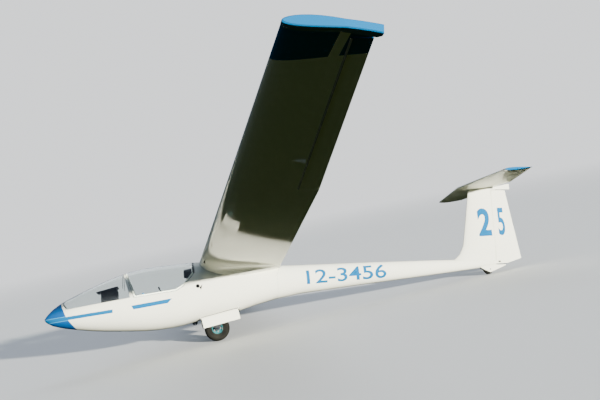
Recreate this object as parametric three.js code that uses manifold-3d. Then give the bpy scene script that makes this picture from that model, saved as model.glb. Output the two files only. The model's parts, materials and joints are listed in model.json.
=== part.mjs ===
// A single-seat sailplane of 15 m span, parked on its gear with one wing tip on the ground.
// Millimetres. Each piece is drawn in the aircraft's own frame: origin at the nose tip, x aft,
// y to starboard, z up, tail boom level. The last lines tip the whole aircraft to its parked attitude.
import * as THREE from "three";
import { mergeVertices } from "three/addons/utils/BufferGeometryUtils.js";
import Module from "manifold-3d";

const wasm = await Module();
wasm.setup();

// Driving dimensions
const SEMI_SPAN = 7500;
const SEAM = 0.3; // gap between two pieces that touch
const MOVING_GAP = 6; // gap around a piece that moves
const HINGE_PIN = 5; // radius of a hinge pin
const PIN_PLAY = 0.4; // extra radius of the hole around a pin

// Fuselage
const POD_END = 3150; // moulded pod ahead of this station, metal boom behind it
const BOOM_END = 6552;
const WALL = 8;
const COCKPIT = { front: 190, back: 2000, head: 205 }; // head: where the glass starts to be hollow
const WELL = { front: 2046, back: 2594, halfWidth: 142, roof: 150 };

// Wing
const WING = {
  leadingEdge: 2075,
  rootY: 450,
  rootHeight: 644,
  tipHeight: 858,
  kinkY: 4730,
  tipY: 7450,
  rootChord: 1097,
  kinkChord: 735,
  tipChord: 410,
  rootThickness: 0.163,
  kinkThickness: 0.15,
  tipThickness: 0.126,
  camber: 0.03,
  incidence: THREE.MathUtils.degToRad(6),
  washout: THREE.MathUtils.degToRad(1.4), // less incidence at the tip than at the kink
};
const AILERON = { inner: 4760, outer: 7400, hinge: 0.78, reach: 260 };
const HORN = { y: 5560, front: 0.57, back: 0.733, radius: 24 }; // fairing over the aileron's drive
const BRAKE = { inner: 2350, outer: 3700, chord: 0.46, capWidth: 36, height: 92, thickness: 5 };
const TIP = { overhang: 22, thickest: 19, edge: 5 }; // tip block: past the trailing edge, half thickness

// Tail
const FIN_HINGE = { bottom: [6562, 345], top: [6606, 1560] }; // x, z
const RUDDER = { bottom: 384, top: 1532 };
const FIN_TOP = 1538;
const TAILPLANE = {
  leadingEdge: 6055,
  height: 1581,
  semiSpan: 1231,
  sweep: 193,
  rootChord: 845,
  tipChord: 417,
  thickness: 0.1,
  tilt: THREE.MathUtils.degToRad(-2.9),
};
const ELEVATOR = { hinge: 505, outer: 1185, reach: 420, notch: [46, 212] }; // notch: half widths

// Wheels
const MAIN_WHEEL = { x: 2283, z: -268, radius: 175, width: 125, hub: 77, axle: 12 };
const TAIL_WHEEL = { x: 6408, z: 322, radius: 80, width: 40, hub: 40, axle: 6, slot: 26 };
const DOOR = { front: 2066, back: 2574, frontTop: -123, backTop: -22, y: 133, depth: 140, thickness: 6 };
const DOOR_PIN = 3.5;

// Canopies, as seen from the side: x, z of the corners of each opening
const WINDSCREEN = { top: [232, 1041], sill: [[290, 113], [1131, 214]] };
const CANOPY = { top: [1068, 1993], sill: [[1182, 215], [1742, 270], [1838, 330], [1996, 508]] };
const GLASS = 4;
const FRAME = { width: 18, depth: 14 };

// Materials
const paint = (color, roughness = 0.25, metalness = 0) =>
  new THREE.MeshStandardMaterial({ color, roughness, metalness });
const WHITE = paint(0xf4f4ec);
const BLUE = paint(0x4fa8dc);
const CYAN = paint(0x6fc8cc, 0.4);
const BLACK = paint(0x15161c, 0.7);
const GREY = paint(0x8c9296, 0.5);
const STEEL = paint(0x9aa0a4, 0.35, 0.9);
const RUBBER = paint(0x26261f, 0.9);
const CLOTH = paint(0x2c3a55, 0.95);
const CLEAR = paint(0xdfe8ea, 0.05);
CLEAR.transparent = true;
CLEAR.opacity = 0.3;

// Turning geometries into solids and back

function solid(geometry, matrix) {
  const bare = geometry.clone();
  for (const name of Object.keys(bare.attributes)) {
    if (name !== "position") bare.deleteAttribute(name);
  }
  if (matrix) bare.applyMatrix4(matrix);
  const merged = mergeVertices(bare, 1e-3);
  const mesh = new wasm.Mesh({
    numProp: 3,
    vertProperties: new Float32Array(merged.attributes.position.array),
    triVerts: new Uint32Array(merged.index.array),
  });
  return new wasm.Manifold(mesh);
}

function geometryOf(body) {
  const mesh = body.getMesh();
  const geometry = new THREE.BufferGeometry();
  geometry.setAttribute("position", new THREE.BufferAttribute(new Float32Array(mesh.vertProperties), 3));
  geometry.setIndex(new THREE.BufferAttribute(new Uint32Array(mesh.triVerts), 1));
  const flat = geometry.toNonIndexed();
  flat.computeVertexNormals();
  return flat;
}

const aircraft = new THREE.Group();
const parts = {};

function place(name, body, material, hinge) {
  const mesh = new THREE.Mesh(geometryOf(body.asOriginal().simplify(0.05)), material);
  mesh.name = name;
  if (hinge) mesh.userData.hinge = hinge.map((p) => p.toArray());
  aircraft.add(mesh);
  parts[name] = mesh;
  return mesh;
}

// Basic solids

const vec = (x, y, z) => new THREE.Vector3(x, y, z);

function matrixOf(xAxis, yAxis, zAxis, origin) {
  return new THREE.Matrix4().makeBasis(xAxis, yAxis, zAxis).setPosition(origin);
}

function box(low, high) {
  const size = new THREE.Vector3().subVectors(high, low);
  const middle = new THREE.Vector3().addVectors(high, low).multiplyScalar(0.5);
  return solid(new THREE.BoxGeometry(size.x, size.y, size.z), new THREE.Matrix4().setPosition(middle));
}

// A round bar or cone from one point to another.
function bar(from, to, radiusFrom, radiusTo = radiusFrom, segments = 16) {
  const along = new THREE.Vector3().subVectors(to, from);
  const turn = new THREE.Quaternion().setFromUnitVectors(vec(0, 1, 0), along.clone().normalize());
  const middle = new THREE.Vector3().addVectors(from, to).multiplyScalar(0.5);
  const geometry = new THREE.CylinderGeometry(radiusTo, radiusFrom, along.length(), segments);
  return solid(geometry, new THREE.Matrix4().compose(middle, turn, vec(1, 1, 1)));
}

// A plate whose outline is given in the xz plane, spanning y from low to high.
function sidePlate(outline, low, high, bevel = 0) {
  const shape = new THREE.Shape(outline.map(([x, z]) => new THREE.Vector2(x, z)));
  const geometry = new THREE.ExtrudeGeometry(shape, {
    depth: high - low - 2 * bevel,
    bevelEnabled: bevel > 0,
    bevelSize: bevel,
    bevelOffset: -bevel,
    bevelThickness: bevel,
    bevelSegments: 2,
  });
  const stand = matrixOf(vec(1, 0, 0), vec(0, 0, 1), vec(0, -1, 0), vec(0, high - bevel, 0));
  return solid(geometry, stand);
}

// A closed skin over a row of rings that all have the same number of points.
function loft(rings) {
  const count = rings[0].length;
  const geometry = new THREE.CylinderGeometry(1, 1, 1, count, rings.length - 1);
  const middles = rings.map((ring) => {
    const sum = ring.reduce((total, point) => total.add(point), vec(0, 0, 0));
    return sum.multiplyScalar(1 / count);
  });
  const position = geometry.attributes.position;
  for (let i = 0; i < position.count; i += 1) {
    const [x, y, z] = [position.getX(i), position.getY(i), position.getZ(i)];
    const row = Math.round((0.5 - y) * (rings.length - 1));
    const angle = Math.atan2(x, z) / (2 * Math.PI);
    const column = (Math.round(angle * count) + count) % count;
    const point = Math.hypot(x, z) < 0.01 ? middles[row] : rings[row][column];
    position.setXYZ(i, point.x, point.y, point.z);
  }
  const body = solid(geometry);
  if (body.volume() > 0) return body;
  geometry.index.array.reverse();
  return solid(geometry);
}

// A smooth curve through a table's column, read at any station.
function smooth(table, column, at) {
  const curve = new THREE.SplineCurve(table.map((row) => new THREE.Vector2(row[0], row[column])));
  let low = 0;
  let high = 1;
  for (let i = 0; i < 40; i += 1) {
    const middle = (low + high) / 2;
    if (curve.getPoint(middle).x < at) low = middle;
    else high = middle;
  }
  return curve.getPoint((low + high) / 2).y;
}

// Fuselage sections: station x, top z, bottom z, half width, z of the widest line
const FUSELAGE = [
  [0, 8, -8, 8, 0],
  [12, 32, -27, 33, 2],
  [40, 68, -50, 60, 6],
  [100, 128, -84, 101, 14],
  [225, 214, -120, 157, 30],
  [400, 298, -153, 208, 52],
  [700, 432, -196, 263, 86],
  [1050, 561, -222, 297, 118],
  [1400, 628, -236, 312, 146],
  [1750, 653, -210, 314, 175],
  [2050, 664, -148, 303, 215],
  [2300, 658, -104, 286, 250],
  [2600, 630, -50, 256, 285],
  [2850, 594, 18, 224, 310],
  [3150, 557, 85, 190, 328],
  [3500, 545, 136, 165, 343],
  [4400, 530, 206, 122, 368],
  [5450, 504, 278, 82, 391],
  [6280, 476, 342, 52, 409],
  [6600, 466, 366, 40, 416],
];
const FULLNESS = 2.15; // 2 is an ellipse, more is squarer

function fuselageRing(x, inset, count) {
  const [top, bottom, half, widest] = [1, 2, 3, 4].map((column) => smooth(FUSELAGE, column, x));
  const ring = [];
  for (let i = 0; i < count; i += 1) {
    const angle = (i / count) * 2 * Math.PI;
    const across = Math.sign(Math.cos(angle)) * Math.abs(Math.cos(angle)) ** (2 / FULLNESS);
    const up = Math.sign(Math.sin(angle)) * Math.abs(Math.sin(angle)) ** (2 / FULLNESS);
    const height = up > 0 ? top - widest - inset : widest - bottom - inset;
    ring.push(vec(x, (half - inset) * across, widest + height * up));
  }
  return ring;
}

function fuselageBody(stations, inset = 0, count = 32) {
  return loft(stations.map((x) => fuselageRing(x, inset, count)));
}

const between = (low, high) => FUSELAGE.map((row) => row[0]).filter((x) => x > low && x < high);
const skinStations = [COCKPIT.front, 300, 440, 600, 780, 960, 1140, 1320, 1500, 1680, 1840, COCKPIT.back];
const podStations = [0, 4, 14, 40, 100, ...skinStations, 2150, 2300, 2600, 2850, POD_END];

// Aerofoils

// Half thickness of the section at a fraction of the chord, for a thickness ratio.
function halfThickness(fraction, ratio) {
  const f = Math.max(fraction, 0);
  const shape = 0.2969 * Math.sqrt(f) - 0.126 * f - 0.3516 * f ** 2 + 0.2843 * f ** 3 - 0.1015 * f ** 4;
  return 5 * ratio * shape;
}

const camberAt = (fraction, camber) => 4 * camber * fraction * (1 - fraction);

// Points round an aerofoil: chord fraction and height over the chord line, in chords.
// They lie closest together round the leading edge.
function aerofoil(ratio, camber, steps = 15) {
  const crowding = 1.35;
  const points = [];
  for (let i = -steps; i <= steps; i += 1) {
    const spread = (Math.abs(i) / steps) ** crowding;
    const fraction = (1 - Math.cos(Math.PI * spread)) / 2;
    points.push([fraction, camberAt(fraction, camber) - Math.sign(i) * halfThickness(fraction, ratio)]);
  }
  return points;
}

const mix = (a, b, t) => a + (b - a) * t;

function wingStation(y) {
  const distance = Math.abs(y);
  const outer = distance > WING.kinkY;
  const t = outer
    ? (distance - WING.kinkY) / (WING.tipY - WING.kinkY)
    : (distance - WING.rootY) / (WING.kinkY - WING.rootY);
  const chord = outer ? mix(WING.kinkChord, WING.tipChord, t) : mix(WING.rootChord, WING.kinkChord, t);
  const ratio = outer
    ? mix(WING.kinkThickness, WING.tipThickness, t)
    : mix(WING.rootThickness, WING.kinkThickness, t);
  const rise = (distance - WING.rootY) / (WING.tipY - WING.rootY);
  const incidence = WING.incidence - (outer ? WING.washout * t : 0);
  return { chord, ratio, incidence, height: mix(WING.rootHeight, WING.tipHeight, rise) };
}

// A point of the wing: millimetres aft along the chord and over the chord line.
function wingPoint(y, along, over) {
  const { incidence, height } = wingStation(y);
  const [c, s] = [Math.cos(incidence), Math.sin(incidence)];
  return vec(WING.leadingEdge + along * c + over * s, y, height - along * s + over * c);
}

// Heights of the wing's mean line and of its two faces over the chord line, at a fraction of the chord.
function wingFaces(y, fraction) {
  const { chord, ratio } = wingStation(y);
  const mean = camberAt(fraction, WING.camber) * chord;
  const half = halfThickness(fraction, ratio) * chord;
  return { along: fraction * chord, mean, half, upper: mean + half, lower: mean - half };
}

function wingRing(y, grow = 0, lowerFillet = 0) {
  const { chord, ratio } = wingStation(y);
  return aerofoil(ratio, WING.camber).map(([fraction, height]) => {
    const lower = height < camberAt(fraction, WING.camber);
    const fill = lower ? lowerFillet * Math.sin(Math.PI * fraction ** 0.8) : 0;
    return wingPoint(y, fraction * chord, height * chord + (lower ? -grow : grow) - fill);
  });
}

// Control surfaces

// Cuts a surface off its plane along a hinge line. The nose of the surface is round about the hinge.
// aft points along the chord, from and to are the hinge line's ends, radii the plane's half thickness there.
function splitAtHinge(whole, { from, to, radii, aft, reach }) {
  const along = new THREE.Vector3().subVectors(to, from).normalize();
  const up = new THREE.Vector3().crossVectors(aft, along).normalize();
  const back = new THREE.Vector3().crossVectors(along, up).normalize();
  const length = from.distanceTo(to);
  const slope = (radii[1] - radii[0]) / length;
  const region = (gap) => {
    const start = from.clone().addScaledVector(along, -gap);
    const end = to.clone().addScaledVector(along, gap);
    const nose = bar(start, end, radii[0] - slope * gap + gap, radii[1] + slope * gap + gap, 40);
    const middle = start.clone().add(end).multiplyScalar(0.5).addScaledVector(back, reach / 2);
    const behind = solid(
      new THREE.BoxGeometry(length + 2 * gap, reach, 400),
      matrixOf(along, back, new THREE.Vector3().crossVectors(along, back), middle),
    );
    return nose.add(behind);
  };
  const pins = [
    [from, 1],
    [to, -1],
  ].map(([end, sign]) => {
    const root = end.clone().addScaledVector(along, -sign * (MOVING_GAP + 4));
    const tip = end.clone().addScaledVector(along, sign * 24);
    const hole = end.clone().addScaledVector(along, sign * 27);
    const play = HINGE_PIN + PIN_PLAY;
    return { pin: bar(root, tip, HINGE_PIN, HINGE_PIN, 12), hole: bar(root, hole, play, play, 12) };
  });
  return { fixed: whole.subtract(region(MOVING_GAP)), surface: whole.intersect(region(0)), pins, region };
}

// Side-view outlines of the two canopy openings, grown by a spread

function sideRegion({ top, sill }, spread) {
  const above = 900;
  const [first, last] = [sill[0], sill[sill.length - 1]];
  return [
    [top[0] - spread, above],
    [top[0] - spread, smooth(FUSELAGE, 1, top[0])],
    [first[0] - spread, first[1] - spread],
    ...sill.slice(1, -1).map(([x, z]) => [x + spread * 0.3, z - spread]),
    [last[0] + spread, last[1] - spread],
    [top[1] + spread, smooth(FUSELAGE, 1, top[1])],
    [top[1] + spread, above],
  ];
}

const windscreenRegion = (spread) => sidePlate(sideRegion(WINDSCREEN, spread), -400, 400);
const canopyRegion = (spread) => sidePlate(sideRegion(CANOPY, spread), -400, 400);

// Fuselage pod: outer skin with its wing-root fairings

const podSkin = fuselageBody(podStations);
const cockpitSpace = fuselageBody(skinStations, WALL);
const cockpitFit = fuselageBody(skinStations.slice(0, -1).concat(COCKPIT.back - SEAM), WALL + SEAM);

// The fairing runs over the fuselage from wing to wing: y, growth of the section, fillet below it
const ROOT_FAIRING = [
  [WING.rootY - SEAM, 0, 0],
  [400, 0, 5],
  [350, 1, 24],
  [312, 4, 58],
  [285, 8, 92],
  [120, 10, 92],
];
const fairingRing = (side, [y, grow, fillet]) => wingRing(side * y, grow, fillet);
const boomFit = fuselageBody([POD_END, ...between(POD_END, 6600), 6600], -SEAM);
const rootFairing = loft([
  ...ROOT_FAIRING.map((row) => fairingRing(-1, row)),
  ...ROOT_FAIRING.map((row) => fairingRing(1, row)).reverse(),
]).subtract(boomFit);

// A box in a frame laid along a hinge line: along it, across it and up from it.
function hingeBox([from, to], low, high) {
  const along = new THREE.Vector3().subVectors(to, from).normalize();
  const across = new THREE.Vector3().crossVectors(vec(0, 0, 1), along).normalize();
  const up = new THREE.Vector3().crossVectors(along, across);
  const size = new THREE.Vector3().subVectors(high, low);
  const middle = new THREE.Vector3().addVectors(high, low).multiplyScalar(0.5);
  const centre = from.clone();
  centre.addScaledVector(along, middle.x).addScaledVector(across, middle.y).addScaledVector(up, middle.z);
  return solid(new THREE.BoxGeometry(size.x, size.y, size.z), matrixOf(along, across, up, centre));
}

function hingePoint([from, to], distance) {
  const along = new THREE.Vector3().subVectors(to, from).normalize();
  return from.clone().addScaledVector(along, distance);
}

const hingeLength = ([from, to]) => from.distanceTo(to);

// Gear door hinge lines run along the lower edges of the wheel well
const doorHinge = (side) => [
  vec(DOOR.front, side * DOOR.y, DOOR.frontTop),
  vec(DOOR.back, side * DOOR.y, DOOR.backTop),
];

function doorHingeFittings(side) {
  const line = doorHinge(side);
  const length = hingeLength(line);
  const lug = 9;
  const wall = side > 0 ? [-7, WELL.halfWidth + 6 - DOOR.y] : [DOOR.y - WELL.halfWidth - 6, 7];
  const lugFrom = (start) => hingeBox(line, vec(start, wall[0], -7), vec(start + lug, wall[1], 40));
  const [pinFront, pinBack] = [-MOVING_GAP - 2, length + MOVING_GAP + 2].map((at) => hingePoint(line, at));
  const pin = bar(pinFront, pinBack, DOOR_PIN, DOOR_PIN, 12);
  return lugFrom(-MOVING_GAP - lug).add(lugFrom(length + MOVING_GAP)).add(pin);
}

// Canopy hinges: stations along the hinge line, each with two fixed lugs and a knuckle between them
const canopyHinge = [vec(1290, 312.5, 224), vec(1690, 317.5, 262)];
const KNUCKLES = { stations: [50, 350], length: 34, lug: 10, radius: 9 };

const hingeBar = (start, end, radius, segments = 16) =>
  bar(hingePoint(canopyHinge, start), hingePoint(canopyHinge, end), radius, radius, segments);

// Where the two lugs of a station start along the hinge line
const lugStarts = (station) => {
  const half = KNUCKLES.length / 2 + 1.5;
  return [station - half - KNUCKLES.lug, station + half];
};

function canopyLugs(station) {
  const starts = lugStarts(station);
  let lugs = hingeBar(starts[0] + 1, starts[1] + KNUCKLES.lug - 1, 4, 12);
  for (const start of starts) {
    lugs = lugs.add(hingeBar(start, start + KNUCKLES.lug, KNUCKLES.radius));
    lugs = lugs.add(hingeBox(canopyHinge, vec(start, -22, -26), vec(start + KNUCKLES.lug, 6, -3)));
  }
  return lugs;
}

// Room in the canopy's frame for the fixed lugs as it swings round them
const lugRoom = (station) =>
  lugStarts(station)
    .map((start) => hingeBar(start - 5, start + KNUCKLES.lug + 5, KNUCKLES.radius + 5))
    .reduce((all, room) => all.add(room));

// Notch in the glass round both lugs of a station
const glassNotch = (station) => {
  const half = KNUCKLES.length / 2 + KNUCKLES.lug + 8;
  return hingeBox(canopyHinge, vec(station - half, -30, -30), vec(station + half, 30, 19));
};

// The arm of a knuckle reaches in over the sill to the canopy's frame
const knuckleArm = (station, grow) =>
  hingeBox(
    canopyHinge,
    vec(station - KNUCKLES.length / 2 - grow, -24 - grow, 4 - grow),
    vec(station + KNUCKLES.length / 2 + grow, 3, 18 + grow),
  );

function canopyKnuckle(station) {
  const half = KNUCKLES.length / 2;
  const sleeve = hingeBar(station - half, station + half, KNUCKLES.radius).add(knuckleArm(station, 0));
  return sleeve.subtract(hingeBar(station - half - 2, station + half + 2, 4 + PIN_PLAY, 12));
}

const wellSpace = box(vec(WELL.front, -WELL.halfWidth, -400), vec(WELL.back, WELL.halfWidth, WELL.roof));

let pod = podSkin.add(rootFairing);
pod = pod.subtract(cockpitSpace).subtract(windscreenRegion(0)).subtract(canopyRegion(MOVING_GAP));
pod = pod.subtract(wellSpace);
const hingeRoom = KNUCKLES.stations.map((station) =>
  hingeBox(canopyHinge, vec(station - 23, -32, -14), vec(station + 23, 14, 40)),
);
for (const room of hingeRoom) pod = pod.subtract(room);
for (const station of KNUCKLES.stations) pod = pod.add(canopyLugs(station));
pod = pod.add(doorHingeFittings(-1)).add(doorHingeFittings(1));
place("fuselage_pod", pod, WHITE);

// Glass and the canopy's frame. The frame runs inside the glass, all round its edge

const glassStations = [COCKPIT.head, ...skinStations.slice(1)];
const glassShell = podSkin.subtract(fuselageBody(glassStations, GLASS));
place("windscreen", glassShell.intersect(windscreenRegion(-SEAM)), CLEAR);

let canopyGlass = glassShell.intersect(canopyRegion(-SEAM));
const underGlass = fuselageBody(glassStations, GLASS + SEAM);
const frameBand = underGlass.subtract(fuselageBody(glassStations, FRAME.depth));
let canopyFrame = frameBand.intersect(canopyRegion(-SEAM).subtract(canopyRegion(-FRAME.width)));
for (const station of KNUCKLES.stations) {
  canopyGlass = canopyGlass.subtract(glassNotch(station));
  canopyFrame = canopyFrame.subtract(lugRoom(station)).add(canopyKnuckle(station));
}
place("canopy_glass", canopyGlass, CLEAR);
place("canopy_frame", canopyFrame, WHITE, canopyHinge);

const LATCH = { x: 1535, z: 271, halfWidth: 11, halfHeight: 9, rise: 60, lean: 28, radius: 6 };
const latchLow = vec(LATCH.x - LATCH.halfWidth, -302, LATCH.z - LATCH.halfHeight);
const latchFoot = box(latchLow, vec(LATCH.x + LATCH.halfWidth, -270, LATCH.z + LATCH.halfHeight));
const latchTop = vec(LATCH.x - LATCH.lean, -262, LATCH.z + LATCH.rise);
const latchHandle = bar(vec(LATCH.x, -273, LATCH.z), latchTop, LATCH.radius);
const latchFit = fuselageBody(glassStations, FRAME.depth + SEAM);
place("canopy_latch", latchFoot.add(latchHandle).intersect(latchFit), BLACK);

// Seat: a bent sheet with two cushions on it. Side view points x, z of its upper face
const SEAT = [[1130, -96], [1290, -158], [1430, -168], [1500, -128], [1700, 62], [1925, 318]];
const SEAT_SHEET = 8;

// A band along a line seen from the side, between two heights over it
function bandOver(line, low, high) {
  const offset = (distance) =>
    line.map(([x, z], i) => {
      const before = line[Math.max(i - 1, 0)];
      const after = line[Math.min(i + 1, line.length - 1)];
      const slope = Math.atan2(after[1] - before[1], after[0] - before[0]);
      return [x - Math.sin(slope) * distance, z + Math.cos(slope) * distance];
    });
  return [...offset(low), ...offset(high).reverse()];
}

const SEAT_HALF_WIDTH = 235;
const seatSheet = sidePlate(bandOver(SEAT, -SEAT_SHEET, 0), -SEAT_HALF_WIDTH, SEAT_HALF_WIDTH);
place("seat_pan", seatSheet.intersect(cockpitFit), WHITE);

const CUSHION = { thickness: 46, edge: 8 };
const SEAT_CUSHION = { line: [[1160, -108], [1290, -158], [1420, -167]], halfWidth: 165, lift: 0.6 };
const BACK_CUSHION = { line: [[1505, -123], [1700, 62], [1880, 267]], halfWidth: 175, lift: SEAM };
const padding = ({ line, halfWidth, lift }) =>
  sidePlate(bandOver(line, lift, CUSHION.thickness), -halfWidth, halfWidth, CUSHION.edge);
place("seat_cushion", padding(SEAT_CUSHION), CLOTH);
place("back_cushion", padding(BACK_CUSHION), CLOTH);

const HEADREST = { x: 1858, z: 511, radius: 78, frontRadius: 64, depth: 108 };
const HEADREST_BRACKET = { halfWidth: 26, below: 30, above: 20 };
const headrestBack = HEADREST.x + HEADREST.depth;
const headrestLine = [vec(HEADREST.x, 0, HEADREST.z), vec(headrestBack, 0, HEADREST.z)];
place("headrest", bar(...headrestLine, HEADREST.frontRadius, HEADREST.radius, 32), BLACK);
const { halfWidth: bracketHalf, below, above } = HEADREST_BRACKET;
const bracketLow = vec(headrestBack + SEAM, -bracketHalf, HEADREST.z - below);
const bracketHigh = vec(COCKPIT.back - SEAM, bracketHalf, HEADREST.z + above);
place("headrest_bracket", box(bracketLow, bracketHigh), GREY);

// Instruments and controls

// Side views x, z with half widths: the panel leans, the shield lies over it, the pedestal stands below
const PANEL = { outline: [[745, 70], [745, 318], [950, 364], [962, 70]], halfWidth: 165, edge: 5 };
const SHIELD = { outline: [[688, 305.5], [688, 320], [966, 383], [966, 368.1]], halfWidth: 190, edge: 3 };
const PEDESTAL = { outline: [[760, -230], [760, 69.7], [930, 69.7], [905, -230]], halfWidth: 62 };
const plateOf = ({ outline, halfWidth, edge }) => sidePlate(outline, -halfWidth, halfWidth, edge);
place("instrument_panel", plateOf(PANEL), BLACK);
place("glare_shield", plateOf(SHIELD), BLACK);
place("panel_pedestal", plateOf(PEDESTAL).intersect(cockpitFit), BLACK);

const STICK = {
  base: vec(1045, 0, -195), top: vec(1030, 0, 95), radius: 9,
  gripLow: vec(1035, 0, -5), gripHigh: vec(1028, 0, 112), gripRadius: 16, gripTopRadius: 17,
  mountLow: vec(1005, -32, -240), mountHigh: vec(1085, 32, -188),
};
const grip = bar(STICK.gripLow, STICK.gripHigh, STICK.gripRadius, STICK.gripTopRadius);
const stickMount = box(STICK.mountLow, STICK.mountHigh).intersect(cockpitFit);
place("control_stick", bar(STICK.base, STICK.top, STICK.radius).add(grip).add(stickMount), BLACK);

// A tube across carries two plates, each with a heel rest, on one foot
const PEDALS = {
  tube: { x: 440, z: -100, half: 120, radius: 9 },
  foot: { front: 420, back: 460, half: 20, low: -180, high: -94 },
  plate: { front: 431, back: 441, low: -104, high: 70 },
  rest: { back: 500, high: -92 },
  inner: 48,
  outer: 118,
};
const { tube: pedalTube, foot: pedalFoot, plate: pedalPlate, rest: heelRest } = PEDALS;
const tubeEnd = (side) => vec(pedalTube.x, side * pedalTube.half, pedalTube.z);
const footLow = vec(pedalFoot.front, -pedalFoot.half, pedalFoot.low);
const footHigh = vec(pedalFoot.back, pedalFoot.half, pedalFoot.high);
let pedals = bar(tubeEnd(-1), tubeEnd(1), pedalTube.radius);
pedals = pedals.add(box(footLow, footHigh).intersect(cockpitFit));
for (const side of [-1, 1]) {
  const [low, high] = side < 0 ? [-PEDALS.outer, -PEDALS.inner] : [PEDALS.inner, PEDALS.outer];
  const plateLow = vec(pedalPlate.front, low, pedalPlate.low);
  const restLow = vec(pedalPlate.back, low, pedalPlate.low);
  pedals = pedals.add(box(plateLow, vec(pedalPlate.back, high, pedalPlate.high)));
  pedals = pedals.add(box(restLow, vec(heelRest.back, high, heelRest.high)));
}
place("rudder_pedals", pedals, STEEL);

const CONSOLE = { front: 1130, back: 1780, inner: 236, outer: 330, low: 90, high: 168 };
for (const [side, name] of [[-1, "port"], [1, "starboard"]]) {
  const [low, high] = side < 0 ? [-CONSOLE.outer, -CONSOLE.inner] : [CONSOLE.inner, CONSOLE.outer];
  const block = box(vec(CONSOLE.front, low, CONSOLE.low), vec(CONSOLE.back, high, CONSOLE.high));
  place(`side_console_${name}`, block.intersect(cockpitFit), GREY);
}
const LEVER = {
  footLow: vec(1300, -262, CONSOLE.high + SEAM), footHigh: vec(1360, -240, 180),
  bottom: vec(1330, -251, 176), top: vec(1300, -246, 262), radius: 7,
};
const leverBar = bar(LEVER.bottom, LEVER.top, LEVER.radius);
place("airbrake_lever", box(LEVER.footLow, LEVER.footHigh).add(leverBar), BLUE);

// Wings, ailerons, airbrakes and tip blocks

// A ring of the tip block: the tip's section with a thick, blunt rear end, grown all round and lengthened aft
const tipRing = (y, grow, overhang) => {
  const { chord, ratio } = wingStation(WING.tipY);
  const blunt = 0.12;
  return aerofoil(ratio, WING.camber).map(([fraction, height], i, all) => {
    const mean = camberAt(fraction, WING.camber) * chord;
    const half = Math.abs(height * chord - mean);
    const full = fraction > blunt ? Math.max(half, TIP.thickest) : half;
    const sign = i <= (all.length - 1) / 2 ? 1 : -1;
    const along = -grow + fraction * (chord + 2 * grow + overhang);
    return wingPoint(y, along, mean + sign * Math.max(full + grow, 0));
  });
};

for (const [side, name] of [[-1, "port"], [1, "starboard"]]) {
  const stations = [WING.rootY, WING.kinkY, WING.tipY];
  let whole = loft(stations.map((y) => wingRing(side * y)));

  const surfacePoint = (y, fraction) => {
    const { along, upper } = wingFaces(y, fraction);
    return wingPoint(side * y, along, upper);
  };
  const brakeFrom = surfacePoint(BRAKE.inner, BRAKE.chord);
  const brakeTo = surfacePoint(BRAKE.outer, BRAKE.chord);
  const along = new THREE.Vector3().subVectors(brakeTo, brakeFrom).normalize();
  const aftward = surfacePoint(BRAKE.inner, BRAKE.chord + 0.02);
  aftward.sub(surfacePoint(BRAKE.inner, BRAKE.chord - 0.02));
  const out = new THREE.Vector3().crossVectors(aftward, along).normalize().multiplyScalar(side);
  const across = new THREE.Vector3().crossVectors(out, along);
  const length = brakeFrom.distanceTo(brakeTo);
  const brakeBox = (endGap, half, low, high) =>
    solid(
      new THREE.BoxGeometry(length + 2 * endGap, 2 * half, high - low),
      matrixOf(
        along,
        across,
        out,
        brakeFrom.clone().add(brakeTo).multiplyScalar(0.5).addScaledVector(out, (low + high) / 2),
      ),
    );
  const cap = brakeBox(0, BRAKE.capWidth / 2, -4.5, -0.5);
  const blade = brakeBox(-30, BRAKE.thickness / 2, -BRAKE.height, -4);
  const capRoom = brakeBox(MOVING_GAP, BRAKE.capWidth / 2 + MOVING_GAP, -12, 30);
  const bladeRoom = brakeBox(-30 + MOVING_GAP, BRAKE.thickness / 2 + MOVING_GAP, -BRAKE.height - SEAM, 0);
  whole = whole.subtract(capRoom).subtract(bladeRoom);
  const brake = place(`airbrake_${name}`, cap.add(blade), STEEL);
  brake.userData.slide = out.toArray();

  const hingeAt = (y) => {
    const { along, mean, half } = wingFaces(y, AILERON.hinge);
    return [wingPoint(side * y, along, mean), half];
  };
  const [from, radiusFrom] = hingeAt(AILERON.inner);
  const [to, radiusTo] = hingeAt(AILERON.outer);
  const aft = vec(Math.cos(WING.incidence), 0, -Math.sin(WING.incidence));
  const split = splitAtHinge(whole, { from, to, radii: [radiusFrom, radiusTo], aft, reach: AILERON.reach });
  let wing = split.fixed;
  let aileron = split.surface;
  for (const { pin, hole } of split.pins) {
    wing = wing.add(pin);
    aileron = aileron.subtract(hole);
  }
  place(`wing_${name}`, wing, WHITE);
  place(`aileron_${name}`, aileron, WHITE, [from, to]);

  const tip = loft([
    tipRing(side * (WING.tipY + SEAM), 0, 4),
    tipRing(side * (WING.tipY + 18), 1, TIP.overhang),
    tipRing(side * (SEMI_SPAN - 5), 1, TIP.overhang),
    tipRing(side * SEMI_SPAN, 1 - TIP.edge, TIP.overhang),
  ]);
  place(`wing_tip_${name}`, tip, BLUE);

  const [hornFront, hornBack] = [HORN.front, HORN.back].map((fraction) => wingFaces(HORN.y, fraction));
  const hornTip = wingPoint(side * HORN.y, hornFront.along, hornFront.lower + 1);
  const hornEnd = wingPoint(side * HORN.y, hornBack.along, hornBack.lower - 4);
  const grown = loft(stations.map((y) => wingRing(side * y, SEAM)));
  const horn = bar(hornTip, hornEnd, 2, HORN.radius, 24);
  place(`aileron_fairing_${name}`, horn.subtract(grown), WHITE);
}

// Fin and rudder: z, leading edge x, trailing edge x, thickness
const FIN = [
  [395, 5800, 6983, 96],
  [490, 5885, 6971, 96],
  [560, 5975, 6962, 94],
  [690, 6048, 6946, 91],
  [860, 6088, 6924, 86],
  [1200, 6161, 6880, 74],
  [FIN_TOP, 6234, 6838, 62],
];

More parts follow.
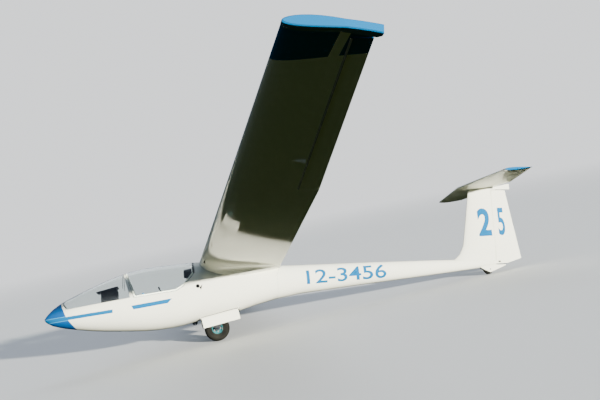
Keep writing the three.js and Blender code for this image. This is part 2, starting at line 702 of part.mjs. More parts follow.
function finRing(z, leading, trailing, thickness) {
  const chord = trailing - leading;
  const outline = aerofoil(thickness / chord, 0, 12);
  return outline.map(([fraction, height]) => vec(leading + fraction * chord, height * chord, z));
}

const finWhole = loft(FIN.map((row) => finRing(...row)));

function finHinge(z) {
  const [bottom, top] = [FIN_HINGE.bottom, FIN_HINGE.top];
  const x = mix(bottom[0], top[0], (z - bottom[1]) / (top[1] - bottom[1]));
  const [leading, trailing, thickness] = [1, 2, 3].map((column) => smooth(FIN, column, z));
  const chord = trailing - leading;
  return [vec(x, 0, z), halfThickness((x - leading) / chord, thickness / chord) * chord];
}

const [rudderFrom] = finHinge(RUDDER.bottom);
const [rudderTo, rudderRadiusTo] = finHinge(RUDDER.top);

// The rudder's nose is a cone wide enough at its foot to cover the fin's thickness at every row
const coneFoot = FIN.slice(1, -1).map(([z]) => {
  const spread = (RUDDER.top - RUDDER.bottom) / (RUDDER.top - z);
  return rudderRadiusTo + (finHinge(z)[1] - rudderRadiusTo) * spread;
});
const rudderSplit = splitAtHinge(finWhole, {
  from: rudderFrom,
  to: rudderTo,
  radii: [Math.max(...coneFoot), rudderRadiusTo],
  aft: vec(1, 0, 0),
  reach: 600,
});

// Tail boom with the housing of the tail wheel below its end
const TAIL_HOUSING = [
  [6280, 348], [6330, 314], [6425, 268], [6480, 285], [6690, 362], [6690, 378], [6500, 378], [6280, 400],
];
const TAIL_HOUSING_HALF_WIDTH = 36;
const boomStations = [POD_END + SEAM, ...between(POD_END, BOOM_END), BOOM_END];
const housing = sidePlate(TAIL_HOUSING, -TAIL_HOUSING_HALF_WIDTH, TAIL_HOUSING_HALF_WIDTH, 4);
let boom = fuselageBody(boomStations, 0, 32).add(housing);
boom = boom.subtract(rudderSplit.region(MOVING_GAP));
const axleLine = (wheel, half) => [vec(wheel.x, -half, wheel.z), vec(wheel.x, half, wheel.z)];
const slotRadius = TAIL_WHEEL.radius + 8;
boom = boom.subtract(bar(...axleLine(TAIL_WHEEL, TAIL_WHEEL.slot), slotRadius, slotRadius, 32));
boom = boom.add(rudderSplit.pins[0].pin);
place("tail_boom", boom, WHITE);

const finEnd = box(vec(6595, -80, 1480), vec(6900, 80, 1560));
place("fin", rudderSplit.fixed.subtract(boomFit).subtract(finEnd), WHITE);

// Tailplane in its own frame: s along the chord, y across, n up
const tailplaneFrame = new THREE.Matrix4()
  .makeRotationY(TAILPLANE.tilt)
  .setPosition(TAILPLANE.leadingEdge, 0, TAILPLANE.height);

function tailplaneRing(y, grow = 0) {
  const t = Math.abs(y) / TAILPLANE.semiSpan;
  const chord = mix(TAILPLANE.rootChord, TAILPLANE.tipChord, t);
  return aerofoil(TAILPLANE.thickness, 0, 12).map(([fraction, height]) => {
    const over = height * chord + Math.sign(height) * grow;
    return vec(TAILPLANE.sweep * t + fraction * chord, y, over).applyMatrix4(tailplaneFrame);
  });
}

const tailplaneEnd = ELEVATOR.outer + MOVING_GAP;
const tailplaneWhole = loft([-tailplaneEnd, 0, tailplaneEnd].map((y) => tailplaneRing(y)));
const tailplaneFit = loft([-tailplaneEnd, 0, tailplaneEnd].map((y) => tailplaneRing(y, SEAM)));

function elevatorHinge(y) {
  const t = Math.abs(y) / TAILPLANE.semiSpan;
  const chord = mix(TAILPLANE.rootChord, TAILPLANE.tipChord, t);
  const fraction = (ELEVATOR.hinge - TAILPLANE.sweep * t) / chord;
  const half = halfThickness(fraction, TAILPLANE.thickness) * chord;
  return [vec(ELEVATOR.hinge, y, 0).applyMatrix4(tailplaneFrame), half];
}

const chordwise = vec(1, 0, 0).transformDirection(tailplaneFrame);
const halves = [-1, 1].map((side) => {
  const [from, radiusFrom] = elevatorHinge(0);
  const [to, radiusTo] = elevatorHinge(side * ELEVATOR.outer);
  const radii = [radiusFrom, radiusTo];
  return splitAtHinge(tailplaneWhole, { from, to, radii, aft: chordwise, reach: ELEVATOR.reach });
});
let tailplane = tailplaneWhole.subtract(halves[0].region(MOVING_GAP)).subtract(halves[1].region(MOVING_GAP));
let elevator = tailplaneWhole.intersect(halves[0].region(0.01).add(halves[1].region(0.01)));

// The elevator's notch leaves room for the rudder: half its width grows from the hinge aft
const notchHeight = 300;
const notchShape = new THREE.Shape([
  new THREE.Vector2(ELEVATOR.hinge + 44, -ELEVATOR.notch[0]),
  new THREE.Vector2(ELEVATOR.hinge + 440, -ELEVATOR.notch[1]),
  new THREE.Vector2(ELEVATOR.hinge + 440, ELEVATOR.notch[1]),
  new THREE.Vector2(ELEVATOR.hinge + 44, ELEVATOR.notch[0]),
]);
const notch = new THREE.ExtrudeGeometry(notchShape, { depth: notchHeight, bevelEnabled: false });
notch.translate(0, 0, -notchHeight / 2);
elevator = elevator.subtract(solid(notch, tailplaneFrame));
place("tailplane", tailplane, WHITE);

const elevatorEnds = [-1, 1].map((side) => elevatorHinge(side * ELEVATOR.outer)[0]);
for (const [i, name] of [[0, "port"], [1, "starboard"]]) {
  const side = i ? 1 : -1;
  elevator = elevator.subtract(halves[i].pins[1].hole);
  const cap = loft([
    tailplaneRing(side * (tailplaneEnd + SEAM)),
    tailplaneRing(side * (TAILPLANE.semiSpan - 12)),
    tailplaneRing(side * TAILPLANE.semiSpan, -3),
  ]);
  place(`tailplane_tip_${name}`, cap.add(halves[i].pins[1].pin), BLUE);
}
place("elevator", elevator, WHITE, elevatorEnds);

// Fairing between the fin's top, the tailplane and the rudder
const fairingRows = [
  [FIN_TOP + SEAM, 6250, 6920, 46],
  [1640, 6262, 6926, 46],
];
let fairing = loft(fairingRows.map((row) => finRing(...row))).subtract(tailplaneFit);
const [noseCentre, noseRadius] = elevatorHinge(0);
const noseRoom = bar(
  noseCentre.clone().add(vec(0, -80, 0)),
  noseCentre.clone().add(vec(0, 80, 0)),
  noseRadius + MOVING_GAP,
  noseRadius + MOVING_GAP,
  40,
);
fairing = fairing.subtract(noseRoom);
fairing = fairing.intersect(box(vec(6200, -100, 1500), vec(7000, 100, 1622)));
fairing = fairing.subtract(box(vec(6000, -100, 1557), vec(6640, 100, 1700)));
fairing = fairing.add(rudderSplit.pins[1].pin);
place("tailplane_fairing", fairing, WHITE);

// The rudder's lower edge slopes up to its trailing edge
let rudder = rudderSplit.surface.subtract(
  sidePlate([[6690, 384], [6995, 466], [6995, 300], [6690, 300]], -200, 200),
);
for (const { hole } of rudderSplit.pins) rudder = rudder.subtract(hole);
place("rudder", rudder, WHITE, [rudderFrom, rudderTo]);

// Wheels

// A turned solid about the y axis through the wheel's centre: profile as radius, y
const turned = (wheel, profile, segments = 36) =>
  solid(
    new THREE.LatheGeometry([...profile, profile[0]].map(([r, y]) => new THREE.Vector2(r, y)), segments),
    new THREE.Matrix4().setPosition(wheel.x, 0, wheel.z),
  );

// The tyre's section: straight walls at the rim, then an arc over the tread
function tyreProfile({ radius, width, hub }) {
  const half = width / 2;
  const shoulder = radius - half * 0.72;
  const points = [[hub + SEAM, half * 0.7]];
  const steps = 6;
  for (let i = 0; i <= steps; i += 1) {
    const angle = (Math.PI * i) / steps;
    points.push([shoulder + (radius - shoulder) * Math.sin(angle), half * Math.cos(angle)]);
  }
  points.push([hub + SEAM, -half * 0.7]);
  return points.reverse();
}

// A hub with its cut-outs: their number, and their place and size as shares of the hub's radius
function hubBody(wheel, holes, segments) {
  const { hub, axle, width } = wheel;
  const rim = width * 0.35;
  const bore = axle + PIN_PLAY;
  const [holeRing, holeRadius] = [hub * 0.6, hub * 0.18];
  const profile = [
    [bore, rim * 0.8], [hub * 0.36, rim * 0.8], [hub * 0.4, rim * 0.35], [hub * 0.8, rim * 0.35],
    [hub * 0.86, rim * 0.95], [hub, rim], [hub, -rim], [hub * 0.86, -rim * 0.95],
    [hub * 0.8, -rim * 0.35], [hub * 0.4, -rim * 0.35], [hub * 0.36, -rim * 0.8], [bore, -rim * 0.8],
  ];
  let body = turned(wheel, profile.reverse(), segments);
  for (let i = 0; i < holes; i += 1) {
    const angle = (i / holes) * 2 * Math.PI;
    const [x, z] = [wheel.x + Math.cos(angle) * holeRing, wheel.z + Math.sin(angle) * holeRing];
    body = body.subtract(bar(vec(x, -width, z), vec(x, width, z), holeRadius, holeRadius, 12));
  }
  return body;
}

place("main_tyre", turned(MAIN_WHEEL, tyreProfile(MAIN_WHEEL)), RUBBER, axleLine(MAIN_WHEEL, 1));
place("main_wheel_hub", hubBody(MAIN_WHEEL, 5, 36), CYAN);
place("tail_tyre", turned(TAIL_WHEEL, tyreProfile(TAIL_WHEEL), 24), RUBBER, axleLine(TAIL_WHEEL, 1));
place("tail_wheel_hub", hubBody(TAIL_WHEEL, 0, 24), GREY);

const axleBody = (wheel, half) => bar(...axleLine(wheel, half), wheel.axle, wheel.axle, 20);
place("main_axle", axleBody(MAIN_WHEEL, 96), STEEL);
place("tail_axle", axleBody(TAIL_WHEEL, TAIL_WHEEL.slot - SEAM), STEEL);

// Undercarriage frame: two side plates from the well's cross tubes down to the axle
const FORK = { y: 76, plate: 9, back: { x: 2440, z: 52, radius: 15 }, front: { x: 2140, z: 52, radius: 12 } };
const forkOutline = [
  [2258, -296], [2308, -296], [2322, -250], [2462, 40], [2462, 72], [2420, 72], [2290, -170],
  [2168, 72], [2122, 72], [2122, 36], [2248, -240],
];
const crossTube = ({ x, z, radius }) =>
  bar(vec(x, -WELL.halfWidth + SEAM, z), vec(x, WELL.halfWidth - SEAM, z), radius);
let fork = crossTube(FORK.back).add(crossTube(FORK.front));
for (const side of [-1, 1]) {
  const [low, high] = side < 0 ? [-FORK.y - FORK.plate, -FORK.y] : [FORK.y, FORK.y + FORK.plate];
  fork = fork.add(sidePlate(forkOutline, low, high));
}
fork = fork.subtract(bar(...axleLine(MAIN_WHEEL, 120), MAIN_WHEEL.axle + SEAM, MAIN_WHEEL.axle + SEAM, 20));
place("main_gear_frame", fork, GREY);

for (const [side, name] of [[-1, "port"], [1, "starboard"]]) {
  const line = doorHinge(side);
  const length = hingeLength(line);
  const half = DOOR.thickness / 2;
  const sleeve = bar(line[0], line[1], 7.5, 7.5, 20);
  const panel = hingeBox(line, vec(0, -half, -DOOR.depth), vec(length, half, 0));
  const bore = DOOR_PIN + PIN_PLAY;
  const hole = bar(hingePoint(line, -2), hingePoint(line, length + 2), bore, bore, 12);
  place(`gear_door_${name}`, sleeve.add(panel).subtract(hole), WHITE, line);
}

// Release hook under the belly ahead of the wheel
const HOOK = { x: 1985, z: -192, eye: 7, halfWidth: 12 };
const hookOutline = [[1948, -190], [1966, -206], [2002, -206], [2018, -182], [2018, -100], [1948, -100]];
let hook = sidePlate(hookOutline, -HOOK.halfWidth, HOOK.halfWidth, 2);
hook = hook.subtract(bar(vec(HOOK.x, -20, HOOK.z), vec(HOOK.x, 20, HOOK.z), HOOK.eye, HOOK.eye, 16));
hook = hook.subtract(fuselageBody(podStations, -SEAM));
place("tow_hook", hook, STEEL);

// Parked attitude: the plane through the lowest points of both wheels and the starboard wing tip

const cornersOf = (name) => {
  const position = parts[name].geometry.attributes.position;
  const corner = (unused, i) => new THREE.Vector3().fromBufferAttribute(position, i);
  return Array.from({ length: position.count }, corner);
};
const feet = ["main_tyre", "tail_tyre", "wing_tip_starboard"].map(cornersOf);
const up = vec(0, 0, 1);
for (let round = 0; round < 12; round += 1) {
  const [a, b, c] = feet.map((points) => points.reduce((low, p) => (p.dot(up) < low.dot(up) ? p : low)));
  up.crossVectors(b.clone().sub(a), c.clone().sub(a)).normalize();
}
const east = vec(1, 0, 0).addScaledVector(up, -up.x).normalize();
const north = new THREE.Vector3().crossVectors(up, east);
aircraft.applyMatrix4(new THREE.Matrix4().makeBasis(east, north, up).transpose());

const parked = new THREE.Group();
parked.add(aircraft);
const extent = new THREE.Box3().setFromObject(parked, true);
const middle = extent.getCenter(vec(0, 0, 0));
parked.position.set(-middle.x, -middle.y, -extent.min.z);

export default parked;
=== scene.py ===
# A single-seat sailplane, parked. Adds the finish, the soft goods and the small fittings to the packed
# frame. Places are given in the aircraft's own axes, in metres: origin at the nose tip, x aft, y to
# starboard, z up from the level tail boom. Port is the side of negative y.
import json
import math

import bmesh
import bpy
from mathutils import Matrix, Vector
from mathutils.bvhtree import BVHTree

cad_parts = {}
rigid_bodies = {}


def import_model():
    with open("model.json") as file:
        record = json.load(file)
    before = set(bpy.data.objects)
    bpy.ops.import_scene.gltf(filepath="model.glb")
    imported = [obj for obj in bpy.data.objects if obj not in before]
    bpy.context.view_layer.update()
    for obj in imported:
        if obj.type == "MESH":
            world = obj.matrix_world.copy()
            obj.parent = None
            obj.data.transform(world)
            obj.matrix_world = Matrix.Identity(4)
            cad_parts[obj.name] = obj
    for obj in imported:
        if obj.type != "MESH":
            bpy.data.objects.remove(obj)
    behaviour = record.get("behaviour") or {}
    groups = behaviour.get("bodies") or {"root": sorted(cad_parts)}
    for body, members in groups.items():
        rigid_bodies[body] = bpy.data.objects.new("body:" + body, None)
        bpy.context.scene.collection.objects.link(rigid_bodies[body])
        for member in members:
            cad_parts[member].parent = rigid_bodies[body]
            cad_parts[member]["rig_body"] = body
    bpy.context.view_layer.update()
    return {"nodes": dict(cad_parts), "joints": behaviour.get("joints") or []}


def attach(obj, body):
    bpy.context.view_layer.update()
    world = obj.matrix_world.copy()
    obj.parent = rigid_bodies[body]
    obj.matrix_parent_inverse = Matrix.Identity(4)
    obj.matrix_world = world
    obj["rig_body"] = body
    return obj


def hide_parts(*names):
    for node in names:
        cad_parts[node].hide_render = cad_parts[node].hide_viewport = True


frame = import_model()
nodes = frame["nodes"]
joints = {joint["name"]: joint for joint in frame["joints"]}
scene = bpy.context.scene
SIDES = {"port": -1, "starboard": 1}

# The aircraft's axes in the parked frame follow from where its two wheels are
MAIN_WHEEL = Vector((2.283, 0, -0.268))
TAIL_WHEEL = Vector((6.408, 0, 0.322))


def aircraft_axes():
    starboard = Vector(joints["main_wheel_spin"]["axis"]).normalized()
    front = Vector(joints["main_wheel_spin"]["pos_m"])
    rear = Vector(joints["tail_wheel_spin"]["pos_m"])
    line = rear - front
    line = (line - starboard * line.dot(starboard)).normalized()
    slope = math.atan2(TAIL_WHEEL.z - MAIN_WHEEL.z, TAIL_WHEEL.x - MAIN_WHEEL.x)
    above = line.cross(starboard)
    aft = line * math.cos(slope) - above * math.sin(slope)
    up = aft.cross(starboard)
    turn = Matrix((aft, starboard, up)).transposed().to_4x4()
    return Matrix.Translation(front - turn @ MAIN_WHEEL) @ turn


AIRCRAFT = aircraft_axes()
TO_AIRCRAFT = AIRCRAFT.inverted()
TURN = AIRCRAFT.to_3x3()


def new_object(name, data):
    made = bpy.data.objects.new(name, data)
    scene.collection.objects.link(made)
    return made


def as_mesh(shape, name):
    mesh = bpy.data.meshes.new(name)
    shape.to_mesh(mesh)
    shape.free()
    return mesh


# Camera: where the photograph was taken from
LENS = 43.08  # mm on a 36 mm wide frame


def add_camera():
    eye = Vector((1.55856, -10.18360, -0.38190))
    right = Vector((0.98051, -0.18203, -0.07390))
    up = Vector((0.03888, -0.18894, 0.98122))
    back = Vector((-0.19257, -0.96497, -0.17818))
    data = bpy.data.cameras.new("photo_camera")
    data.sensor_width = 36
    data.lens = LENS
    data.clip_end = 400
    turn = Matrix((right, up, back)).transposed().to_4x4()
    scene.camera = new_object("photo_camera", data)
    scene.camera.matrix_world = AIRCRAFT @ Matrix.Translation(eye) @ turn


# Nodes of a material or of the world
def put(tree, socket, value):
    """Sets an input, or feeds it from another node."""
    value = value.socket if isinstance(value, Field) else value
    if isinstance(value, bpy.types.NodeSocket):
        tree.links.new(value, socket)
    else:
        socket.default_value = value


def new_node(tree, kind, inputs, **settings):
    """Adds a node and gives its outputs. Each of its inputs is a number, or what feeds it."""
    node = tree.nodes.new(f"ShaderNode{kind}")
    for name, value in settings.items():
        setattr(node, name, value)
    for place, value in inputs.items():
        put(tree, node.inputs[place], value)
    return node.outputs


class Field:
    """A value over a piece's surface. Arithmetic on it adds Math nodes to the material."""

    def __init__(self, tree, socket):
        self.tree = tree
        self.socket = socket

    def combine(self, operation, *others):
        inputs = dict(enumerate((self, *others)))
        return Field(self.tree, new_node(self.tree, "Math", inputs, operation=operation)[0])

    def __add__(self, other):
        return self.combine("ADD", other)

    def __sub__(self, other):
        return self.combine("SUBTRACT", other)

    def __mul__(self, other):
        return self.combine("MULTIPLY", other)

    def size(self):
        return self.combine("ABSOLUTE")

    def larger(self, other):
        return self.combine("MAXIMUM", other)

    def over(self, limit, soft=0.0015):
        """1 above the limit and 0 below it, with a soft edge."""
        inputs = {"Value": self - limit, "From Min": -soft, "From Max": soft}
        return Field(self.tree, new_node(self.tree, "MapRange", inputs, interpolation_type="SMOOTHSTEP")[0])

    def under(self, limit, soft=0.0015):
        return (self * -1).over(-limit, soft)


def mixed(tree, mask, under, over):
    """Colour over another colour, where the mask is 1. Either colour may be a socket."""
    under, over = [(*colour, 1) if isinstance(colour, tuple) else colour for colour in (under, over)]
    return new_node(tree, "Mix", {0: mask, 6: under, 7: over}, data_type="RGBA")[2]


class Finish:
    """A procedural material: a mottled colour, uneven roughness and a fine relief. Its vector and its
    x, y and z are the aircraft's coordinates over the surface."""

    def __init__(self, name, colour, roughness, metal=0.0, scale=12.0, tint=0.06, uneven=0.04):
        self.material = bpy.data.materials.new(name)
        self.material.use_nodes = True
        self.tree = tree = self.material.node_tree
        self.shader = tree.nodes["Principled BSDF"]
        place = new_node(tree, "TexCoord", {})["Object"]
        turn = {"Location": TO_AIRCRAFT.to_translation(), "Rotation": TO_AIRCRAFT.to_euler()}
        self.vector = new_node(tree, "Mapping", {"Vector": place, **turn})[0]
        axes = new_node(tree, "SeparateXYZ", {0: self.vector})
        self.x, self.y, self.z = [Field(tree, axis) for axis in axes]
        speckle = self.mottle(scale)
        self.colour = tuple(value * (1 - tint) for value in colour)
        self.paint(speckle.over(0.5, 0.25), tuple(min(value * (1 + tint), 1) for value in colour))
        self.rough(speckle * (2 * uneven) + (roughness - uneven))
        self.set(metallic=metal)

    def pattern(self, kind, output, inputs, **settings):
        texture = new_node(self.tree, kind, {"Vector": self.vector, **inputs}, **settings)
        return Field(self.tree, texture[output])

    def mottle(self, scale, detail=3.0):
        return self.pattern("TexNoise", 0, {"Scale": scale, "Detail": detail})

    def grain(self, stretch):
        vector = new_node(self.tree, "Mapping", {"Vector": self.vector, "Scale": stretch})[0]
        return self.pattern("TexNoise", 0, {"Vector": vector, "Scale": 1, "Detail": 2})

    def ribs(self, direction, scale):
        return self.pattern("TexWave", "Fac", {"Scale": scale}, bands_direction=direction)

    def cells(self, scale):
        return self.pattern("TexVoronoi", "Distance", {"Scale": scale})

    def rough(self, field):
        put(self.tree, self.shader.inputs["Roughness"], field)

    def paint(self, mask, colour):
        self.colour = mixed(self.tree, mask, self.colour, colour)
        put(self.tree, self.shader.inputs["Base Color"], self.colour)
        return self

    def relief(self, height, depth):
        """Raises the surface by a field from 0 to 1 times a depth in metres."""
        bump = new_node(self.tree, "Bump", {"Height": height, "Distance": depth})
        put(self.tree, self.shader.inputs["Normal"], bump[0])
        return self

    def set(self, **values):
        for name, value in values.items():
            self.shader.inputs[name.replace("_", " ").title().replace("Ior", "IOR")].default_value = value
        return self


# Paints and finishes
GELCOAT = (0.83, 0.83, 0.70)
LIGHT_BLUE = (0.001, 0.112, 0.275)
CAP_BLUE = (0.004, 0.068, 0.225)
PIN_BLUE = (0.04, 0.24, 0.46)
TRIM_BLACK = (0.0035, 0.0035, 0.006)


def gelcoat(name, roughness=0.16):
    return Finish(name, GELCOAT, roughness, scale=2.2, tint=0.015, uneven=0.03)


def pod_paint():
    """White with the blue nose cap, its pinstripes and the two stripes along each side."""
    paint = gelcoat("pod_gelcoat")
    x, z = paint.x, paint.z
    cap_edge = (z * -0.427 + 0.302).larger(z * -0.762 + 0.300)
    cap = (cap_edge - x).over(0)
    front_middle = (z - (x * 0.0895 - 0.0292)).size()
    front_stripe = front_middle.under(0.0225) * x.under(0.900)
    rear_middle = (z - (x * 0.118 - 0.0566)).size()
    rear_start = (x + z * 0.55).over(1.199)
    rear_end = (x - z).under(1.513)
    rear_stripe = rear_middle.under(0.0270) * rear_start * rear_end
    paint.paint(cap, CAP_BLUE)
    paint.paint(front_middle.under(0.031) * cap, PIN_BLUE)
    paint.paint(front_stripe.larger(rear_stripe), LIGHT_BLUE)
    return paint.material


def wing_paint():
    """White with the blue band at the tip, which a strip of white tape crosses."""
    paint = gelcoat("wing_gelcoat", 0.05)
    paint.set(ior=1.12)
    band = (paint.y.size() - (paint.x - 2.075) * 0.29).over(7.13)
    tape = (paint.x - 2.354).size().under(0.024)
    paint.paint(band * (tape * -1 + 1), LIGHT_BLUE)
    return paint.material


def liner_paint():
    paint = Finish("cockpit_liner", (0.22, 0.235, 0.245), 0.6, scale=30, tint=0.05)
    flecks = paint.mottle(420, 1)
    paint.paint(flecks.over(0.62, 0.02), (0.10, 0.11, 0.12))
    return paint.relief(flecks, 0.0004).material


def blue_paint():
    paint = Finish("light_blue_paint", LIGHT_BLUE, 0.16, scale=5, tint=0.05)
    return paint.set(coat_weight=0.5, coat_roughness=0.05).material


def cyan_paint():
    """Pale cyan on the wheel's rim, chipped to bare metal and dusted with soil."""
    paint = Finish("rim_paint", (0.010, 0.140, 0.160), 0.32, scale=40, tint=0.12)
    paint.paint(paint.mottle(26, 5).over(0.56, 0.12) * 0.45, (0.20, 0.17, 0.11))
    chips = paint.mottle(140, 4)
    paint.paint(chips.over(0.68, 0.02), (0.45, 0.46, 0.47))
    return paint.relief(chips, 0.0003).material


def satin(name, colour, roughness=0.42, scale=25):
    paint = Finish(name, colour, roughness, scale=scale, tint=0.08)
    return paint.relief(paint.mottle(260, 2), 0.0002).material


def brushed(name, colour, roughness=0.34):
    metal = Finish(name, colour, roughness, metal=1.0, scale=8, tint=0.08)
    grain = metal.grain((40, 900, 900))
    metal.rough(grain * 0.25 + (roughness - 0.1))
    return metal.relief(grain, 0.0001).material


def rubber():
    """Tyre rubber, greyed with dust from the field."""
    paint = Finish("tyre_rubber", (0.010, 0.010, 0.009), 0.78, scale=30, tint=0.15)
    paint.paint(paint.mottle(12, 6).over(0.52, 0.18) * 0.4, (0.035, 0.033, 0.025))
    return paint.relief(paint.mottle(500, 3), 0.0004).material


def vinyl():
    paint = Finish("black_vinyl", TRIM_BLACK, 0.52, scale=20, tint=0.10)
    return paint.relief(paint.cells(480).under(0.6, 0.4), 0.00018).material


def cloth():
    """A plain weave: warp and weft ribs, with the colour broken up thread by thread."""
    paint = Finish("seat_cloth", (0.014, 0.022, 0.045), 0.88, scale=60, tint=0.16)
    threads = paint.grain((500, 60, 200))
    paint.paint(threads.over(0.56, 0.05) * 0.5, (0.05, 0.06, 0.085))
    paint.set(sheen_weight=0.35, sheen_roughness=0.5)
    return paint.relief(paint.ribs("X", 150) * 0.5 + paint.ribs("Y", 150) * 0.5, 0.0006).material


def webbing():
    paint = Finish("harness_webbing", (0.055, 0.060, 0.075), 0.75, scale=60, tint=0.10)
    return paint.relief(paint.ribs("DIAGONAL", 220), 0.0004).material


def acrylic():
    """Clear sheet with a faint haze of fine polishing marks. Lamps shine through it."""
    sheet = Finish("clear_acrylic", (0.93, 0.965, 0.955), 0.012, scale=7, tint=0.01, uneven=0.008)
    sheet.set(transmission_weight=1.0, ior=1.42)
    tree = sheet.tree
    lamps = new_node(tree, "LightPath", {})["Is Shadow Ray"]
    clear = new_node(tree, "BsdfTransparent", {"Color": (0.93, 0.96, 0.95, 1)})[0]
    either = new_node(tree, "MixShader", {0: lamps, 1: sheet.shader.outputs[0], 2: clear})
    put(tree, tree.nodes["Material Output"].inputs["Surface"], either[0])
    return sheet.material


PAINT = {
    "pod": pod_paint(),
    "wing": wing_paint(),
    "white": gelcoat("white_gelcoat").material,
    "tail": gelcoat("tail_gelcoat", 0.30).material,
    "liner": liner_paint(),
    "blue": blue_paint(),
    "cyan": cyan_paint(),
    "black": satin("black_crackle", TRIM_BLACK, 0.65, 60),
    "plastic": satin("black_plastic", (0.004, 0.004, 0.005), 0.45, 60),
    "grey": satin("grey_paint", (0.30, 0.32, 0.33), 0.4),
    "dark_grey": satin("dark_grey_paint", (0.040, 0.042, 0.045), 0.5),
    "steel": brushed("steel", (0.50, 0.51, 0.52)),
    "dark_steel": brushed("dark_steel", (0.10, 0.10, 0.105), 0.5),
    "tape": satin("gap_tape", (0.34, 0.34, 0.31), 0.85),
    "aluminium": brushed("aluminium", (0.70, 0.71, 0.71), 0.42),
    "rubber": rubber(),
    "seal": satin("black_seal", (0.012, 0.012, 0.011), 0.7, 90),
    "vinyl": vinyl(),
    "cloth": cloth(),
    "webbing": webbing(),
    "acrylic": acrylic(),
    "red": satin("red_plastic", (0.50, 0.02, 0.015), 0.3, 60),
    "yellow": satin("yellow_plastic", (0.72, 0.46, 0.02), 0.3, 60),
    "green": satin("green_plastic", (0.03, 0.26, 0.07), 0.3, 60),
    "ivory": satin("dial_marks", (0.80, 0.78, 0.68), 0.5, 60),
    "dial": satin("dial_black", (0.010, 0.010, 0.010), 0.55, 60),
    # painted shade: near-black paint for the dark inside of openings that are not cut
    "hole": satin("painted_opening_shade", (0.004, 0.004, 0.005), 0.9, 60),
}


# Light: a low sun on the port side, a weak blue sky, dark grass tones from below and a pale backdrop
LAMPS = (
    # name, the way to it, strength, width in degrees, colour
    ("key", (0.45, -1.0, 0.11), 17.0, 1.5, (1.0, 0.975, 0.88)),
    ("fill", (0.35, 1.0, 1.1), 2.6, 70, (0.93, 0.96, 1.0)),
)
SKY = (0.20, 0.26, 0.36)
GROUND = (0.016, 0.0225, 0.0055)
BACKDROP = (1.30, 1.33, 1.36)
FLOOR = (0.62, 0.63, 0.63)
FLOOR_REACH = 150.0
FLOOR_FADE = (13.0, 42.0)  # how far from the middle the floor turns into the backdrop


def add_lamp(name, way, strength, angle, colour):
    """A distant lamp. Only its light shows: nothing mirrors it."""
    data = bpy.data.lights.new(name, "SUN")
    data.energy = strength
    data.angle = math.radians(angle)
    data.color = colour
    light = new_object(name, data)
    light.rotation_euler = (TURN @ Vector(way)).to_track_quat("Z", "Y").to_euler()
    light.visible_glossy = False


def add_world():
    """The sky lights the aircraft. What the camera sees, straight or through glass, is the backdrop."""
    world = bpy.data.worlds.new("studio")
    scene.world = world
    world.use_nodes = True
    tree = world.node_tree
    tree.nodes.clear()
    way = new_node(tree, "TexCoord", {})["Generated"]
    height = Field(tree, new_node(tree, "SeparateXYZ", {0: way})[2])
    sky = mixed(tree, height.over(0.0, 0.02), GROUND, SKY)
    ray = new_node(tree, "LightPath", {})
    straight, through = Field(tree, ray["Is Camera Ray"]), Field(tree, ray["Is Transmission Ray"])
    bounces = Field(tree, ray["Diffuse Depth"]) + Field(tree, ray["Glossy Depth"])
    seen = straight.larger(through * bounces.under(0.5, 0.1))
    background = new_node(tree, "Background", {0: mixed(tree, seen, sky, BACKDROP)})
    new_node(tree, "OutputWorld", {0: background[0]})


def add_floor():
    shape = bmesh.new()
    bmesh.ops.create_grid(shape, x_segments=2, y_segments=2, size=FLOOR_REACH)
    floor = new_object("floor", as_mesh(shape, "floor"))
    material = bpy.data.materials.new("floor")
    material.use_nodes = True
    tree = material.node_tree
    shader = tree.nodes["Principled BSDF"]
    shader.inputs["Base Color"].default_value = (*FLOOR, 1)
    shader.inputs["Roughness"].default_value = 0.9
    place = new_node(tree, "TexCoord", {})["Object"]
    length = new_node(tree, "VectorMath", {0: place}, operation="LENGTH")["Value"]
    near, far = FLOOR_FADE
    away = Field(tree, length).over((near + far) / 2, (far - near) / 2)
    glow = new_node(tree, "Emission", {"Color": (*BACKDROP, 1)})
    blend = new_node(tree, "MixShader", {0: away, 1: shader.outputs[0], 2: glow[0]})
    put(tree, tree.nodes["Material Output"].inputs["Surface"], blend[0])
    floor.data.materials.append(material)
    floor.visible_diffuse = False
    floor.visible_glossy = False


add_camera()
for lamp in LAMPS:
    add_lamp(*lamp)
add_world()
add_floor()


# Shapes. Each is a bmesh in the aircraft's axes until add() puts it in its place
def merged(node):
    """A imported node's mesh with its loose triangles joined."""
    shape = bmesh.new()
    shape.from_mesh(nodes[node].data)
    bmesh.ops.remove_doubles(shape, verts=shape.verts, dist=1e-5)
    shape.transform(TO_AIRCRAFT)
    return shape


def add(name, shape, finishes, body="airframe", slot=None, sharp=35, stands_for=None):
    """Makes a piece of a shape, smooth but for the edges that turn by more than a sharp angle."""
    finishes = [finishes] if isinstance(finishes, str) else finishes
    shape.normal_update()
    for face in shape.faces:
        face.smooth = True
    for edge in shape.edges:
        if len(edge.link_faces) == 2:
            edge.smooth = edge.calc_face_angle(0) < math.radians(sharp)
    shape.transform(AIRCRAFT)
    piece = new_object(name, as_mesh(shape, name))
    for finish in finishes:
        piece.data.materials.append(PAINT[finish])
    if stands_for:
        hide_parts(stands_for)
    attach(piece, body)
    return piece


def round_off(piece, width, sharp=35):
    edge = piece.modifiers.new("rounded_edges", "BEVEL")
    edge.width = width
    edge.segments = 2
    edge.limit_method = "ANGLE"
    edge.angle_limit = math.radians(sharp)


def block(shape, low, high):
    low, high = Vector(low), Vector(high)
    spot = Matrix.Translation((low + high) / 2) @ Matrix.Diagonal((*(high - low), 1))
    return bmesh.ops.create_cube(shape, size=1, matrix=spot)["verts"]


def facing(direction, place, upward=(0, 0, 1)):
    """Lays local z along a direction, and local y as far upward as it goes, at a place."""
    out = Vector(direction).normalized()
    side = Vector(upward).cross(out).normalized()
    turn = Matrix((side, out.cross(side), out)).transposed().to_4x4()
    return Matrix.Translation(Vector(place)) @ turn


